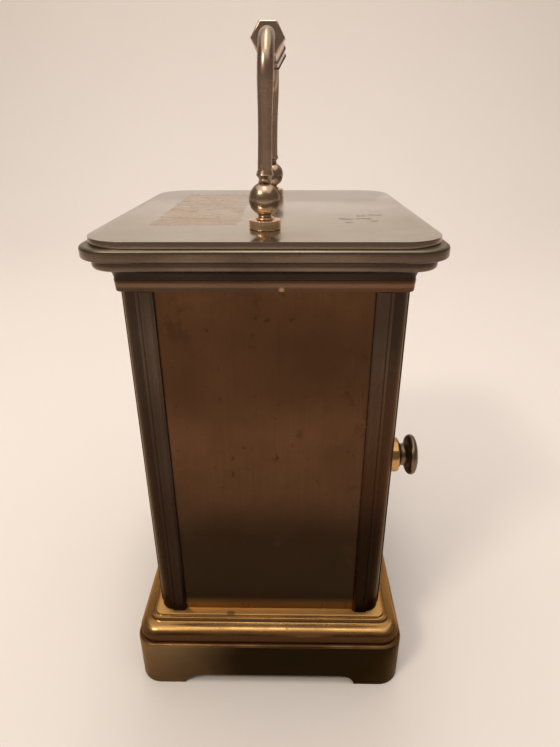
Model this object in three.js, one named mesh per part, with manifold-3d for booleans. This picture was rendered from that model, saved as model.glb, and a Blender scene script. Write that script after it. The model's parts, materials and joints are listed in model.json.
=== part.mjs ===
// Brass carriage clock with a folding carrying handle and a quartz movement.
// Millimetres, +Z up. The dial faces -Y, the rear door is on +Y, and +X is the clock's right side
// as its user looks at the dial. z = 0 is the surface that the bracket feet stand on.

import * as THREE from 'three';
import { mergeVertices } from 'three/addons/utils/BufferGeometryUtils.js';
import Module from 'manifold-3d';

const wasm = await Module();
wasm.setup();

// ---------------------------------------------------------------- driving dimensions

const SEAT = 0.05;                  // gap left between two pieces that sit on each other

// Case
const FACE_X = 34.0;                // half width over the column faces
const FACE_Y = 28.4;                // half depth over the column faces
const BASE_TOP = 19.8;              // height of the platform that the columns stand on
const CORNICE_BOTTOM = 104.7;
const CORNICE_TOP = 113.7;
const PLATE_TOP = 115.0;
const PLATE_OVERHANG = 4.65;
const PLATE_CORNER = 8.5;
const COLUMN = 7.0;                 // side of a column's square section
const COLUMN_FLAT = 3.4;            // width of its flat band
const COLUMN_STEP = 0.4;            // step from the flat band to the rounded corner
const PANEL_SETBACK = 1.1;          // side panel's face behind the column face
const PANEL_THICK = 1.5;

// Base
const PLINTH_OVERHANG = 5.7;
const HOLLOW_MARGIN = 5.5;          // wall of the plinth around the hollow underside
const HOLLOW_TOP = 15.6;
const FOOT_LENGTH = 12.0;           // along each side, from the plinth's corner
const FOOT_HEIGHT = 3.1;
const FOOT_CURVE = 3.8;             // length of the curved end of the gap between two feet

// Front
const GLASS_THICK = 2.4;
const GLASS_SETBACK = 0.9;
const GLASS_BEVEL = 5.0;
const DIAL_Z = 66.0;                // height of the hands' axis
const DIAL_OPENING_R = 24.0;
const MASK_THICK = 0.8;

// Rear door
const DOOR_FACE_Y = 27.7;
const DOOR_THICK = 1.8;
const DOOR_HINGE_X = -25.9;
const DOOR_FREE_EDGE = 26.75;
const DOOR_END_GAP = 0.35;
const KNOB_X = 22.5;
const KNOB_Z = 60.6;
const KNOB_TIP_Y = 36.0;

// Handle
const POST_X = 26.0;
const PIVOT_Z = 120.6;
const BALL_R = 3.1;
const BAIL_RADIUS = 27.37;          // pivot axis to grip axis
const BAIL_LEAN = 1.15;             // degrees that the bail rests back from upright
const BEND_R = 7.5;
const GRIP_HALF = 15.5;
const GRIP_CORNER_R = 3.32;         // six-sided grip, centre to corner
const TONGUE_THICK = 1.3;
const SLOT_WIDTH = 1.8;

// Movement
const MOVEMENT_FRONT = -19.2;
const MOVEMENT_HALF = 28.0;
const MOVEMENT_DEPTH = 15.75;
const HOUSING_WALL = 1.0;
const HOUSING_SPLIT = 7.8;          // depth at which the two housings meet
const BAY_TOP = 55.0;               // top of the battery bay
const CELL_R = 7.1;

// ---------------------------------------------------------------- materials

const brassAged = new THREE.MeshStandardMaterial({ color: 0x8a6a3c, roughness: 0.34, metalness: 1 });
const brassPolished = new THREE.MeshStandardMaterial({ color: 0xb28a52, roughness: 0.2, metalness: 1 });
const brassPlate = new THREE.MeshStandardMaterial({ color: 0xa08a66, roughness: 0.22, metalness: 1 });
const brassBrushed = new THREE.MeshStandardMaterial({ color: 0x6e4e2c, roughness: 0.42, metalness: 1 });
const steel = new THREE.MeshStandardMaterial({ color: 0x9a9a98, roughness: 0.35, metalness: 1 });
const blackSteel = new THREE.MeshStandardMaterial({ color: 0x15171c, roughness: 0.3, metalness: 0.6 });
const glass = new THREE.MeshStandardMaterial({
  color: 0xe4eeee, roughness: 0.04, metalness: 0, transparent: true, opacity: 0.3,
});
const enamel = new THREE.MeshStandardMaterial({ color: 0xf1ede0, roughness: 0.3, metalness: 0 });
const blackPlastic = new THREE.MeshStandardMaterial({ color: 0x1b1c1d, roughness: 0.5, metalness: 0 });
const whitePlastic = new THREE.MeshStandardMaterial({ color: 0xe9e6da, roughness: 0.5, metalness: 0 });
const rubber = new THREE.MeshStandardMaterial({ color: 0x222222, roughness: 0.8, metalness: 0 });
const copper = new THREE.MeshStandardMaterial({ color: 0xa4532c, roughness: 0.35, metalness: 1 });
const boardGreen = new THREE.MeshStandardMaterial({ color: 0x23603a, roughness: 0.5, metalness: 0 });
const cellSleeve = new THREE.MeshStandardMaterial({ color: 0x3f4a55, roughness: 0.35, metalness: 0.3 });

// ---------------------------------------------------------------- helpers

const clock = new THREE.Group();
const radians = THREE.MathUtils.degToRad;

/** A closed geometry as a manifold solid. */
function toSolid(geometry) {
  const plain = geometry.clone();
  plain.deleteAttribute('normal');
  plain.deleteAttribute('uv');
  const merged = mergeVertices(plain, 1e-4);
  const index = merged.index.array;
  const triangles = [];
  for (let i = 0; i < index.length; i += 3) {
    const [a, b, c] = [index[i], index[i + 1], index[i + 2]];
    if (a !== b && b !== c && c !== a) {
      triangles.push(a, b, c);
    }
  }
  return new wasm.Manifold(new wasm.Mesh({
    numProp: 3,
    vertProperties: new Float32Array(merged.attributes.position.array),
    triVerts: new Uint32Array(triangles),
  }));
}

function toGeometry(solid) {
  const mesh = solid.getMesh();
  const geometry = new THREE.BufferGeometry();
  geometry.setAttribute('position', new THREE.BufferAttribute(new Float32Array(mesh.vertProperties), 3));
  geometry.setIndex(new THREE.BufferAttribute(new Uint32Array(mesh.triVerts), 1));
  return geometry;
}

function cut(body, tools) {
  let solid = toSolid(body);
  for (const tool of tools) {
    solid = solid.subtract(toSolid(tool));
  }
  return toGeometry(solid);
}

function join(pieces) {
  let solid = toSolid(pieces[0]);
  for (const piece of pieces.slice(1)) {
    solid = solid.add(toSolid(piece));
  }
  return toGeometry(solid);
}

function add(name, geometry, material, parent = clock) {
  const mesh = new THREE.Mesh(geometry, material);
  mesh.name = name;
  parent.add(mesh);
  return mesh;
}

/** A box between two corners. */
function box(low, high) {
  const size = high.map((value, axis) => value - low[axis]);
  const middle = high.map((value, axis) => (value + low[axis]) / 2);
  return new THREE.BoxGeometry(...size).translate(...middle);
}

/** A solid of revolution about Z. The profile is [radius, z] from bottom to top, ends on the axis. */
function turned(profile, segments = 16) {
  const points = profile.map(([radius, z]) => new THREE.Vector2(radius, z));
  return new THREE.LatheGeometry(points, segments).rotateX(Math.PI / 2);
}

/** A cylinder about Z from z = low to z = high. */
function pin(radius, low, high, segments = 12) {
  return turned([[0, low], [radius, low], [radius, high], [0, high]], segments);
}

/** A tube about Z. */
function tube(outer, inner, low, high, segments = 16) {
  return turned([[inner, low], [outer, low], [outer, high], [inner, high], [inner, low]], segments);
}

/** Turns a geometry built about Z so that its axis points along +Y. */
function alongY(geometry) {
  return geometry.rotateX(-Math.PI / 2);
}

/** Turns a geometry built about Z so that its axis points along +X. */
function alongX(geometry) {
  return geometry.rotateY(Math.PI / 2);
}

/** A flat shape in the XZ plane, [x, z] points, between two values of y. */
function slab(outline, lowY, highY, holes = []) {
  const shape = new THREE.Shape(outline.map(([x, z]) => new THREE.Vector2(x, z)));
  for (const hole of holes) {
    shape.holes.push(new THREE.Path(hole.map(([x, z]) => new THREE.Vector2(x, z))));
  }
  const flat = new THREE.ExtrudeGeometry(shape, { depth: highY - lowY, bevelEnabled: false });
  return flat.rotateX(Math.PI / 2).translate(0, highY, 0);
}

/** Points of a circle, as [x, z]. */
function circle(radius, x, z, count) {
  const points = [];
  for (let i = 0; i < count; i += 1) {
    const angle = (2 * Math.PI * i) / count;
    points.push([x + radius * Math.cos(angle), z + radius * Math.sin(angle)]);
  }
  return points;
}

/** Joins loops of equal length into one closed skin, with a fan over the first and the last. */
function loft(loops) {
  const count = loops[0].length;
  const positions = [];
  const index = [];
  for (const loop of loops) {
    for (const point of loop) {
      positions.push(point.x, point.y, point.z);
    }
  }
  for (let level = 0; level < loops.length - 1; level += 1) {
    for (let i = 0; i < count; i += 1) {
      const a = level * count + i;
      const b = level * count + ((i + 1) % count);
      index.push(a, b, b + count, a, b + count, a + count);
    }
  }
  const last = (loops.length - 1) * count;
  for (let i = 1; i < count - 1; i += 1) {
    index.push(0, i + 1, i);
    index.push(last, last + i, last + i + 1);
  }
  const geometry = new THREE.BufferGeometry();
  geometry.setAttribute('position', new THREE.Float32BufferAttribute(positions, 3));
  geometry.setIndex(index);
  return geometry;
}

/** A rectangle with rounded corners at height z, counter-clockwise from above. */
function roundedRectangle(halfX, halfY, radius, z, steps) {
  const loop = [];
  const corners = [[1, 1], [-1, 1], [-1, -1], [1, -1]];
  corners.forEach(([signX, signY], corner) => {
    for (let i = 0; i <= steps; i += 1) {
      const angle = radians(90 * (corner + i / steps));
      loop.push(new THREE.Vector3(
        signX * (halfX - radius) + radius * Math.cos(angle),
        signY * (halfY - radius) + radius * Math.sin(angle),
        z,
      ));
    }
  });
  return loop;
}

/** A moulding: [overhang, z] points from bottom to top, carried round the case. */
function moulding(profile, cornerRadius, steps) {
  return loft(profile.map(([overhang, z]) => roundedRectangle(
    FACE_X + overhang,
    FACE_Y + overhang,
    cornerRadius(overhang),
    z,
    steps,
  )));
}

/** Points of a quarter turn or less, as [overhang, z], leaving out the first. */
function arc(centre, radiusX, radiusZ, startDegrees, endDegrees, count) {
  const points = [];
  for (let i = 1; i <= count; i += 1) {
    const angle = radians(startDegrees + ((endDegrees - startDegrees) * i) / count);
    points.push([centre[0] + radiusX * Math.cos(angle), centre[1] + radiusZ * Math.sin(angle)]);
  }
  return points;
}

/** A slotted cheese-head screw about Z, its head at z = 0 to headHeight and its shank below. */
function screw(headRadius, headHeight, shankRadius, length) {
  const body = turned([
    [0, -length],
    [shankRadius, -length],
    [shankRadius, 0],
    [headRadius, 0],
    [headRadius, headHeight],
    [0, headHeight],
  ], 12);
  const slotHalf = headRadius * 0.14;
  const slot = box([-2 * headRadius, -slotHalf, headHeight * 0.55], [2 * headRadius, slotHalf, headHeight + 1]);
  return cut(body, [slot]);
}

const FOUR_CORNERS = [
  { name: 'front_left', x: -1, y: -1 },
  { name: 'front_right', x: 1, y: -1 },
  { name: 'rear_left', x: -1, y: 1 },
  { name: 'rear_right', x: 1, y: 1 },
];
const COLUMN_X = FACE_X - COLUMN / 2;
const COLUMN_Y = FACE_Y - COLUMN / 2;
const SCREW_HOLE_R = 1.5;
const SCREW_SHANK_R = 1.25;
const SCREW_HEAD_R = 2.3;
const SCREW_HEAD_HEIGHT = 1.7;
const SCREW_GRIP = 8.0;             // length of screw inside a column
const HINGE_PIN_R = 0.55;
const HINGE_HOLE_R = 0.7;
const HINGE_Y = DOOR_FACE_Y - DOOR_THICK / 2;
const HINGE_PIN_DEPTH = 2.4;

// ---------------------------------------------------------------- base

/** The space between two feet, as an outline across one side. */
function footGap(half) {
  const straight = half - FOOT_LENGTH;
  const right = arc([straight - FOOT_CURVE, 0], FOOT_CURVE, FOOT_HEIGHT, 0, 90, 5);
  const outline = [[straight, -1], [straight, 0], ...right];
  const left = outline.map(([x, z]) => [-x, z]).reverse();
  return [...outline, ...left];
}

function addBase() {
  const profile = [
    [PLINTH_OVERHANG - 0.15, 0],
    [PLINTH_OVERHANG, 0.2],
    [PLINTH_OVERHANG, 13.0],
    [5.52, 13.6],
    [5.1, 13.9],
    [4.78, 13.95],
    ...arc([3.2, 15.4], 1.78, 2.65, -28, 80, 7),
    [2.65, 18.12],
    [2.05, 18.35],
    [1.7, 18.7],
    [1.5, 19.1],
    [0.98, 19.2],
    [0.9, 19.65],
    [0.75, BASE_TOP],
  ];
  const body = moulding(profile, (overhang) => 1.2 + 0.75 * overhang, 6);
  const halfX = FACE_X + PLINTH_OVERHANG;
  const halfY = FACE_Y + PLINTH_OVERHANG;
  const hollowX = halfX - HOLLOW_MARGIN;
  const hollowY = halfY - HOLLOW_MARGIN;
  const tools = [
    box([-hollowX, -hollowY, -1], [hollowX, hollowY, HOLLOW_TOP]),
    slab(footGap(halfX), -halfY - 2, halfY + 2),
    slab(footGap(halfY), -halfX - 2, halfX + 2).rotateZ(Math.PI / 2),
    pin(HINGE_HOLE_R, BASE_TOP - HINGE_PIN_DEPTH - 0.2, BASE_TOP + 1, 10)
      .translate(DOOR_HINGE_X, HINGE_Y, 0),
  ];
  for (const corner of FOUR_CORNERS) {
    tools.push(pin(SCREW_HOLE_R, HOLLOW_TOP - 1, BASE_TOP + 1).translate(
      corner.x * COLUMN_X,
      corner.y * COLUMN_Y,
      0,
    ));
  }
  add('base', cut(body, tools), brassPolished);

  for (const corner of FOUR_CORNERS) {
    const length = BASE_TOP - HOLLOW_TOP + SCREW_GRIP;
    const geometry = screw(SCREW_HEAD_R, SCREW_HEAD_HEIGHT, SCREW_SHANK_R, length).rotateX(Math.PI);
    add(`base_screw_${corner.name}`, geometry, steel)
      .position.set(corner.x * COLUMN_X, corner.y * COLUMN_Y, HOLLOW_TOP - SEAT);
  }
}

// ---------------------------------------------------------------- columns and side panels

/** A column's section from its inner corner: u runs outward along X, v outward along Y. */
function columnSection(atFront) {
  const grooveOuter = COLUMN - PANEL_SETBACK + SEAT;
  const grooveInner = grooveOuter - PANEL_THICK - 2 * SEAT;
  const grooveDepth = 1.6;
  const insideCut = 0.5;
  const beadRadius = COLUMN - COLUMN_FLAT - COLUMN_STEP;
  const beadCentre = COLUMN_FLAT;
  const glassOuter = COLUMN - GLASS_SETBACK + 0.1;
  const glassInner = glassOuter - GLASS_THICK - 0.2;
  const doorStop = COLUMN - (FACE_Y - DOOR_FACE_Y) - DOOR_THICK - 0.1;
  const doorLip = 1.5;
  const side = [
    [grooveInner, 0],
    [grooveInner, grooveDepth],
    [grooveOuter, grooveDepth],
    [grooveOuter, 0],
    [COLUMN, 0],
    [COLUMN, COLUMN_FLAT],
    [beadCentre + beadRadius, COLUMN_FLAT],
    ...arc([beadCentre, beadCentre], beadRadius, beadRadius, 0, 90, 6),
    [COLUMN_FLAT, COLUMN],
    [insideCut, COLUMN],
    [0, COLUMN - insideCut],
  ];
  if (atFront) {
    return [[0, 0], ...side, [0, glassOuter], [1.5, glassOuter], [1.5, glassInner], [0, glassInner]];
  }
  return [[-doorLip, 0], ...side, [0, doorStop], [-doorLip, doorStop]];
}

function addColumns() {
  const bottom = BASE_TOP + SEAT;
  const height = CORNICE_BOTTOM - BASE_TOP - 2 * SEAT;
  const holeDepth = SCREW_GRIP + 1;
  for (const corner of FOUR_CORNERS) {
    const points = columnSection(corner.y < 0).map(([u, v]) => new THREE.Vector2(
      corner.x * (FACE_X - COLUMN + u),
      corner.y * (FACE_Y - COLUMN + v),
    ));
    const body = new THREE.ExtrudeGeometry(new THREE.Shape(points), { depth: height, bevelEnabled: false });
    body.translate(0, 0, bottom);
    const tools = [
      pin(SCREW_HOLE_R, bottom - 1, bottom + holeDepth),
      pin(SCREW_HOLE_R, bottom + height - holeDepth, bottom + height + 1),
    ].map((tool) => tool.translate(corner.x * COLUMN_X, corner.y * COLUMN_Y, 0));
    if (corner.y < 0) {
      for (const z of MASK_SCREW_HEIGHTS) {
        tools.push(alongY(pin(MASK_SCREW_R + 0.2, -3.4, 1, 10))
          .translate(corner.x * MASK_SCREW_X, -FACE_Y + COLUMN, z));
      }
    }
    add(`column_${corner.name}`, cut(body, tools), brassAged);
  }
}

function addSidePanels() {
  const outer = FACE_X - PANEL_SETBACK;
  const halfDepth = FACE_Y - COLUMN + 1.5;
  for (const [name, sign] of [['left', -1], ['right', 1]]) {
    const ends = [sign * outer, sign * (outer - PANEL_THICK)].sort((a, b) => a - b);
    const geometry = box(
      [ends[0], -halfDepth, BASE_TOP + SEAT],
      [ends[1], halfDepth, CORNICE_BOTTOM - SEAT],
    );
    add(`side_panel_${name}`, geometry, brassBrushed);
  }
}

// ---------------------------------------------------------------- cornice and top plate

const FLANGE_BOTTOM = 110.2;        // underside of the cornice's inner flange
const STUD_R = 1.5;

function addCornice() {
  const profile = [
    [0.02, CORNICE_BOTTOM],
    [0.17, 104.85],
    [0.33, 106.95],
    [0.26, 107.05],
    ...arc([2.4, 107.15], 2.14, 2.1, 180, 90, 5),
    ...arc([3.2, 110.0], 0.7, 0.7, -80, 0, 3),
    [3.9, 111.3],
    [5.25, 111.35],
    [5.6, 111.5],
    [5.75, 111.8],
    [5.75, 113.35],
    [5.55, 113.62],
    [5.0, CORNICE_TOP],
  ];
  const body = moulding(profile, (overhang) => overhang + 1.45, 6);
  const low = CORNICE_BOTTOM - 1;
  const cornerBlockX = FACE_X - COLUMN - 0.2;
  const cornerBlockY = FACE_Y - COLUMN - 0.2;
  const tools = [
    box([-20, -17, low], [20, 17, CORNICE_TOP + 1]),
    box([-FACE_X + 2.8, -cornerBlockY, low], [FACE_X - 2.8, cornerBlockY, FLANGE_BOTTOM]),
    box([-cornerBlockX, -FACE_Y + 2.9, low], [cornerBlockX, FACE_Y - 2.9, FLANGE_BOTTOM]),
    pin(HINGE_HOLE_R, low, CORNICE_BOTTOM + HINGE_PIN_DEPTH + 0.2, 10).translate(DOOR_HINGE_X, HINGE_Y, 0),
  ];
  for (const sign of [-1, 1]) {
    tools.push(pin(STUD_R + 0.25, FLANGE_BOTTOM - 1, CORNICE_TOP + 1).translate(sign * POST_X, 0, 0));
  }
  const counterbore = SCREW_HEAD_HEIGHT + 0.3;
  for (const corner of FOUR_CORNERS) {
    const hole = turned([
      [0, low],
      [SCREW_HOLE_R, low],
      [SCREW_HOLE_R, CORNICE_TOP - counterbore],
      [SCREW_HEAD_R + 0.3, CORNICE_TOP - counterbore],
      [SCREW_HEAD_R + 0.3, CORNICE_TOP + 1],
      [0, CORNICE_TOP + 1],
    ], 12);
    tools.push(hole.translate(corner.x * COLUMN_X, corner.y * COLUMN_Y, 0));
  }
  add('cornice', cut(body, tools), brassAged);

  for (const corner of FOUR_CORNERS) {
    const seat = CORNICE_TOP - counterbore;
    const geometry = screw(SCREW_HEAD_R, SCREW_HEAD_HEIGHT, SCREW_SHANK_R, seat - CORNICE_BOTTOM + SCREW_GRIP);
    add(`cornice_screw_${corner.name}`, geometry, steel)
      .position.set(corner.x * COLUMN_X, corner.y * COLUMN_Y, seat + SEAT);
  }
}

function addTopPlate() {
  const profile = [
    [PLATE_OVERHANG - 0.15, CORNICE_TOP + SEAT],
    [PLATE_OVERHANG, CORNICE_TOP + 0.25],
    [PLATE_OVERHANG, PLATE_TOP - 0.15],
    [PLATE_OVERHANG - 0.15, PLATE_TOP],
  ];
  const body = moulding(profile, () => PLATE_CORNER, 8);
  const holes = [-1, 1].map((sign) => pin(STUD_R + 0.25, CORNICE_TOP - 1, PLATE_TOP + 1)
    .translate(sign * POST_X, 0, 0));
  add('top_plate', cut(body, holes), brassPlate);
}

// ---------------------------------------------------------------- front glass, mask and dial

const MASK_SCREW_X = 29.0;
const MASK_SCREW_R = 0.9;
const MASK_SCREW_HEIGHTS = [60.0];
const MASK_FRONT = -FACE_Y + COLUMN + SEAT;
const MASK_BACK = MASK_FRONT + MASK_THICK;
const DIAL_BACK = MASK_BACK + SEAT + 0.6;
const STEM_R = 3.9;

function addFront() {
  const glassHalf = FACE_X - COLUMN + 1.3;
  const glassFront = -FACE_Y + GLASS_SETBACK;
  const glassLow = BASE_TOP + 0.15;
  const glassHigh = CORNICE_BOTTOM - 0.15;
  const middle = (glassLow + glassHigh) / 2;
  const levels = [
    { y: glassFront + GLASS_THICK, inset: 0 },
    { y: glassFront + 0.9, inset: 0 },
    { y: glassFront, inset: GLASS_BEVEL },
  ];
  const loops = levels.map(({ y, inset }) => {
    const halfX = glassHalf - inset;
    const halfZ = (glassHigh - glassLow) / 2 - inset;
    return [[-1, -1], [1, -1], [1, 1], [-1, 1]]
      .map(([signX, signZ]) => new THREE.Vector3(signX * halfX, y, middle + signZ * halfZ));
  });
  add('front_glass', loft(loops), glass);

  const maskHalf = FACE_X - PANEL_SETBACK - PANEL_THICK - 0.3;
  const outline = [
    [-maskHalf, BASE_TOP + 0.2],
    [maskHalf, BASE_TOP + 0.2],
    [maskHalf, CORNICE_BOTTOM - 0.2],
    [-maskHalf, CORNICE_BOTTOM - 0.2],
  ];
  const holes = [circle(DIAL_OPENING_R, 0, DIAL_Z, 40)];
  for (const z of MASK_SCREW_HEIGHTS) {
    for (const sign of [-1, 1]) {
      holes.push(circle(MASK_SCREW_R + 0.2, sign * MASK_SCREW_X, z, 10));
    }
  }
  add('dial_mask', slab(outline, MASK_FRONT, MASK_BACK, holes), brassPlate);

  for (const [name, sign] of [['left', -1], ['right', 1]]) {
    const geometry = alongY(screw(1.7, 0.8, MASK_SCREW_R, 3.4));
    add(`mask_screw_${name}`, geometry, steel)
      .position.set(sign * MASK_SCREW_X, MASK_BACK + SEAT, MASK_SCREW_HEIGHTS[0]);
  }

  const dial = slab(
    circle(DIAL_OPENING_R + 1.5, 0, DIAL_Z, 40),
    MASK_BACK + SEAT,
    DIAL_BACK,
    [circle(STEM_R + 0.3, 0, DIAL_Z, 16)],
  );
  add('dial', dial, enamel);
}

// ---------------------------------------------------------------- rear door

function addDoor() {
  const low = BASE_TOP + DOOR_END_GAP;
  const high = CORNICE_BOTTOM - DOOR_END_GAP;
  const half = DOOR_THICK / 2;
  const edge = [[DOOR_HINGE_X, HINGE_Y + half]];
  for (const degrees of [120, 150, 180, 210, 240, 270]) {
    edge.push([
      DOOR_HINGE_X + half * Math.cos(radians(degrees)),
      HINGE_Y + half * Math.sin(radians(degrees)),
    ]);
  }
  edge.push([DOOR_FREE_EDGE, HINGE_Y - half], [DOOR_FREE_EDGE, HINGE_Y + half]);
  const shape = new THREE.Shape(edge.map(([x, y]) => new THREE.Vector2(x, y)));
  const body = new THREE.ExtrudeGeometry(shape, { depth: high - low, bevelEnabled: false });
  body.translate(0, 0, low);
  const fieldDepth = 0.45;
  const stile = 7.6;
  const tools = [
    box(
      [DOOR_HINGE_X + stile, DOOR_FACE_Y - fieldDepth, low + stile + 0.6],
      [DOOR_FREE_EDGE - stile - 0.6, DOOR_FACE_Y + 1, high - stile - 0.6],
    ),
    pin(HINGE_HOLE_R, low - 1, low + HINGE_PIN_DEPTH + 0.3, 10).translate(DOOR_HINGE_X, HINGE_Y, 0),
    pin(HINGE_HOLE_R, high - HINGE_PIN_DEPTH - 0.3, high + 1, 10).translate(DOOR_HINGE_X, HINGE_Y, 0),
    alongY(pin(1.3, HINGE_Y - 2, HINGE_Y + 2)).translate(KNOB_X, 0, KNOB_Z),
  ];
  add('rear_door', cut(body, tools), brassBrushed);

  const reach = HINGE_PIN_DEPTH + DOOR_END_GAP;
  for (const [name, start] of [['lower', BASE_TOP], ['upper', CORNICE_BOTTOM]]) {
    const [below, above] = name === 'lower' ? [HINGE_PIN_DEPTH, reach] : [reach, HINGE_PIN_DEPTH];
    add(`hinge_pin_${name}`, pin(HINGE_PIN_R, start - below, start + above, 10), steel)
      .position.set(DOOR_HINGE_X, HINGE_Y, 0);
  }

  const collarEnd = 31.2;
  const collar = turned([
    [1.3, DOOR_FACE_Y + SEAT],
    [4.25, DOOR_FACE_Y + SEAT],
    [4.25, DOOR_FACE_Y + 0.6],
    [4.0, DOOR_FACE_Y + 0.8],
    [4.2, DOOR_FACE_Y + 1.4],
    [4.2, collarEnd - 0.4],
    [3.9, collarEnd],
    [1.3, collarEnd],
    [1.3, DOOR_FACE_Y + SEAT],
  ], 20);
  add('knob_collar', alongY(collar), brassPolished).position.set(KNOB_X, 0, KNOB_Z);

  const screwDepth = 3.6;
  const knob = turned([
    [0, collarEnd + SEAT + screwDepth],
    [1.25, collarEnd + SEAT + screwDepth],
    [1.25, collarEnd + SEAT],
    [3.05, collarEnd + SEAT],
    [2.75, 31.75],
    [2.65, 32.3],
    [2.9, 32.95],
    [4.2, 33.3],
    [4.72, 33.7],
    [4.88, 34.3],
    [4.7, 34.9],
    [3.5, 35.5],
    [1.8, 35.88],
    [0, KNOB_TIP_Y],
  ], 20);
  add('door_knob', alongY(knob), brassAged).position.set(KNOB_X, 0, KNOB_Z);

  const seat = DOOR_FACE_Y - DOOR_THICK - SEAT;
  const length = collarEnd + screwDepth - 0.4 - seat;
  add('knob_screw', alongY(screw(2.4, 1.2, 1.0, length).rotateX(Math.PI)), steel)
    .position.set(KNOB_X, seat, KNOB_Z);
}

// ---------------------------------------------------------------- handle

const NUT_R = 3.1;
const PIVOT_PIN_R = 0.55;
const TONGUE_HALF = 1.15;

/** Points on a ball's outline about Z, between two heights from its centre. */
function ballOutline(centre, radius, low, high, count) {
  const start = Math.asin(low / radius);
  const end = Math.asin(high / radius);
  const points = [];
  for (let i = 0; i <= count; i += 1) {
    const angle = start + ((end - start) * i) / count;
    points.push([radius * Math.cos(angle), centre + radius * Math.sin(angle)]);
  }
  return points;
}

function addHandlePosts() {
  const studEnd = 106.4;
  const neckRadius = 1.32;
  const neckJoin = -Math.sqrt(BALL_R ** 2 - neckRadius ** 2);
  const profile = [
    [0, studEnd],
    [STUD_R, studEnd],
    [STUD_R, PLATE_TOP + SEAT],
    [3.1, PLATE_TOP + SEAT],
    [3.1, 116.65],
    [2.9, 116.85],
    [1.75, 116.95],
    [1.7, 117.2],
    [neckRadius, 117.5],
    ...ballOutline(PIVOT_Z, BALL_R, neckJoin, BALL_R * 0.999, 9),
    [0, PIVOT_Z + BALL_R],
  ];
  const slotBottom = PIVOT_Z - TONGUE_HALF - 0.35;
  const slotHalf = SLOT_WIDTH / 2;
  const slot = box([-slotHalf, -5, slotBottom], [slotHalf, 5, PIVOT_Z + 5]);
  const pinHole = alongX(pin(PIVOT_PIN_R + 0.15, -5, 5, 10)).translate(0, 0, PIVOT_Z);
  for (const [name, sign] of [['left', -1], ['right', 1]]) {
    const post = cut(turned(profile, 20), [slot, pinHole]);
    add(`handle_post_${name}`, post, brassPolished).position.x = sign * POST_X;

    const nut = cut(
      pin(NUT_R, FLANGE_BOTTOM - 2.6, FLANGE_BOTTOM - SEAT, 6),
      [pin(STUD_R + 0.2, FLANGE_BOTTOM - 4, FLANGE_BOTTOM + 1)],
    );
    add(`handle_nut_${name}`, nut, brassAged).position.x = sign * POST_X;

    const pivot = alongX(pin(PIVOT_PIN_R, -2.9, 2.9, 10));
    add(`handle_pivot_pin_${name}`, pivot, brassPolished).position.set(sign * POST_X, 0, PIVOT_Z);
  }
}

/** A square section with cut corners, in the plane of the unit vectors `across` and `deep`. */
function barSection(centre, across, deep, width, chamfer) {
  const half = width / 2;
  const inner = half - chamfer;
  return [
    [half, -inner], [half, inner], [inner, half], [-inner, half],
    [-half, inner], [-half, -inner], [-inner, -half], [inner, -half],
  ].map(([a, b]) => centre.clone().addScaledVector(across, a).addScaledVector(deep, b));
}

/** One arm of the bail, from its pivot at the origin, rising along +Z and bending towards -X. */
function armGeometry() {
  const deep = new THREE.Vector3(0, 1, 0);
  const ring = 0.293;               // corner cut that makes a square an even octagon
  const lower = [
    [BALL_R + 0.12, 2.3, ring],
    [BALL_R + 0.4, 2.2, ring],
    [4.3, 3.35, ring],
    [5.15, 2.74, ring],
    [12.5, 2.58, ring],
  ];
  const bendStart = BAIL_RADIUS - BEND_R;
  const loops = lower.map(([z, width, share]) => barSection(
    new THREE.Vector3(0, 0, z),
    new THREE.Vector3(1, 0, 0),
    deep,
    width,
    width * share,
  ));
  const bendSteps = 7;
  for (let i = 0; i <= bendSteps; i += 1) {
    const angle = radians((90 * i) / bendSteps);
    const across = new THREE.Vector3(Math.cos(angle), 0, Math.sin(angle));
    const centre = new THREE.Vector3(-BEND_R, 0, bendStart).addScaledVector(across, BEND_R);
    loops.push(barSection(centre, across, deep, 3.05, 3.05 * ring));
  }
  const up = new THREE.Vector3(0, 0, 1);
  const endX = GRIP_HALF + SEAT - POST_X;
  loops.push(barSection(new THREE.Vector3(endX, 0, BAIL_RADIUS), up, deep, 2.9, 0.8));
  loops.push(barSection(new THREE.Vector3(endX, 0, BAIL_RADIUS), up, deep, 1.8, 0.5));
  loops.push(barSection(new THREE.Vector3(endX - 2.6, 0, BAIL_RADIUS), up, deep, 1.8, 0.5));
  const bar = loft(loops);

  const tongueTop = BALL_R + 0.3;
  const rounded = arc([0, 0], TONGUE_HALF, TONGUE_HALF, 180, 360, 6);
  const outline = [[TONGUE_HALF, tongueTop], [-TONGUE_HALF, tongueTop], [-TONGUE_HALF, 0], ...rounded];
  const hole = circle(PIVOT_PIN_R + 0.12, 0, 0, 10);
  const tongue = slab(outline, -TONGUE_THICK / 2, TONGUE_THICK / 2, [hole]).rotateZ(Math.PI / 2);
  return join([bar, tongue]);
}

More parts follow.
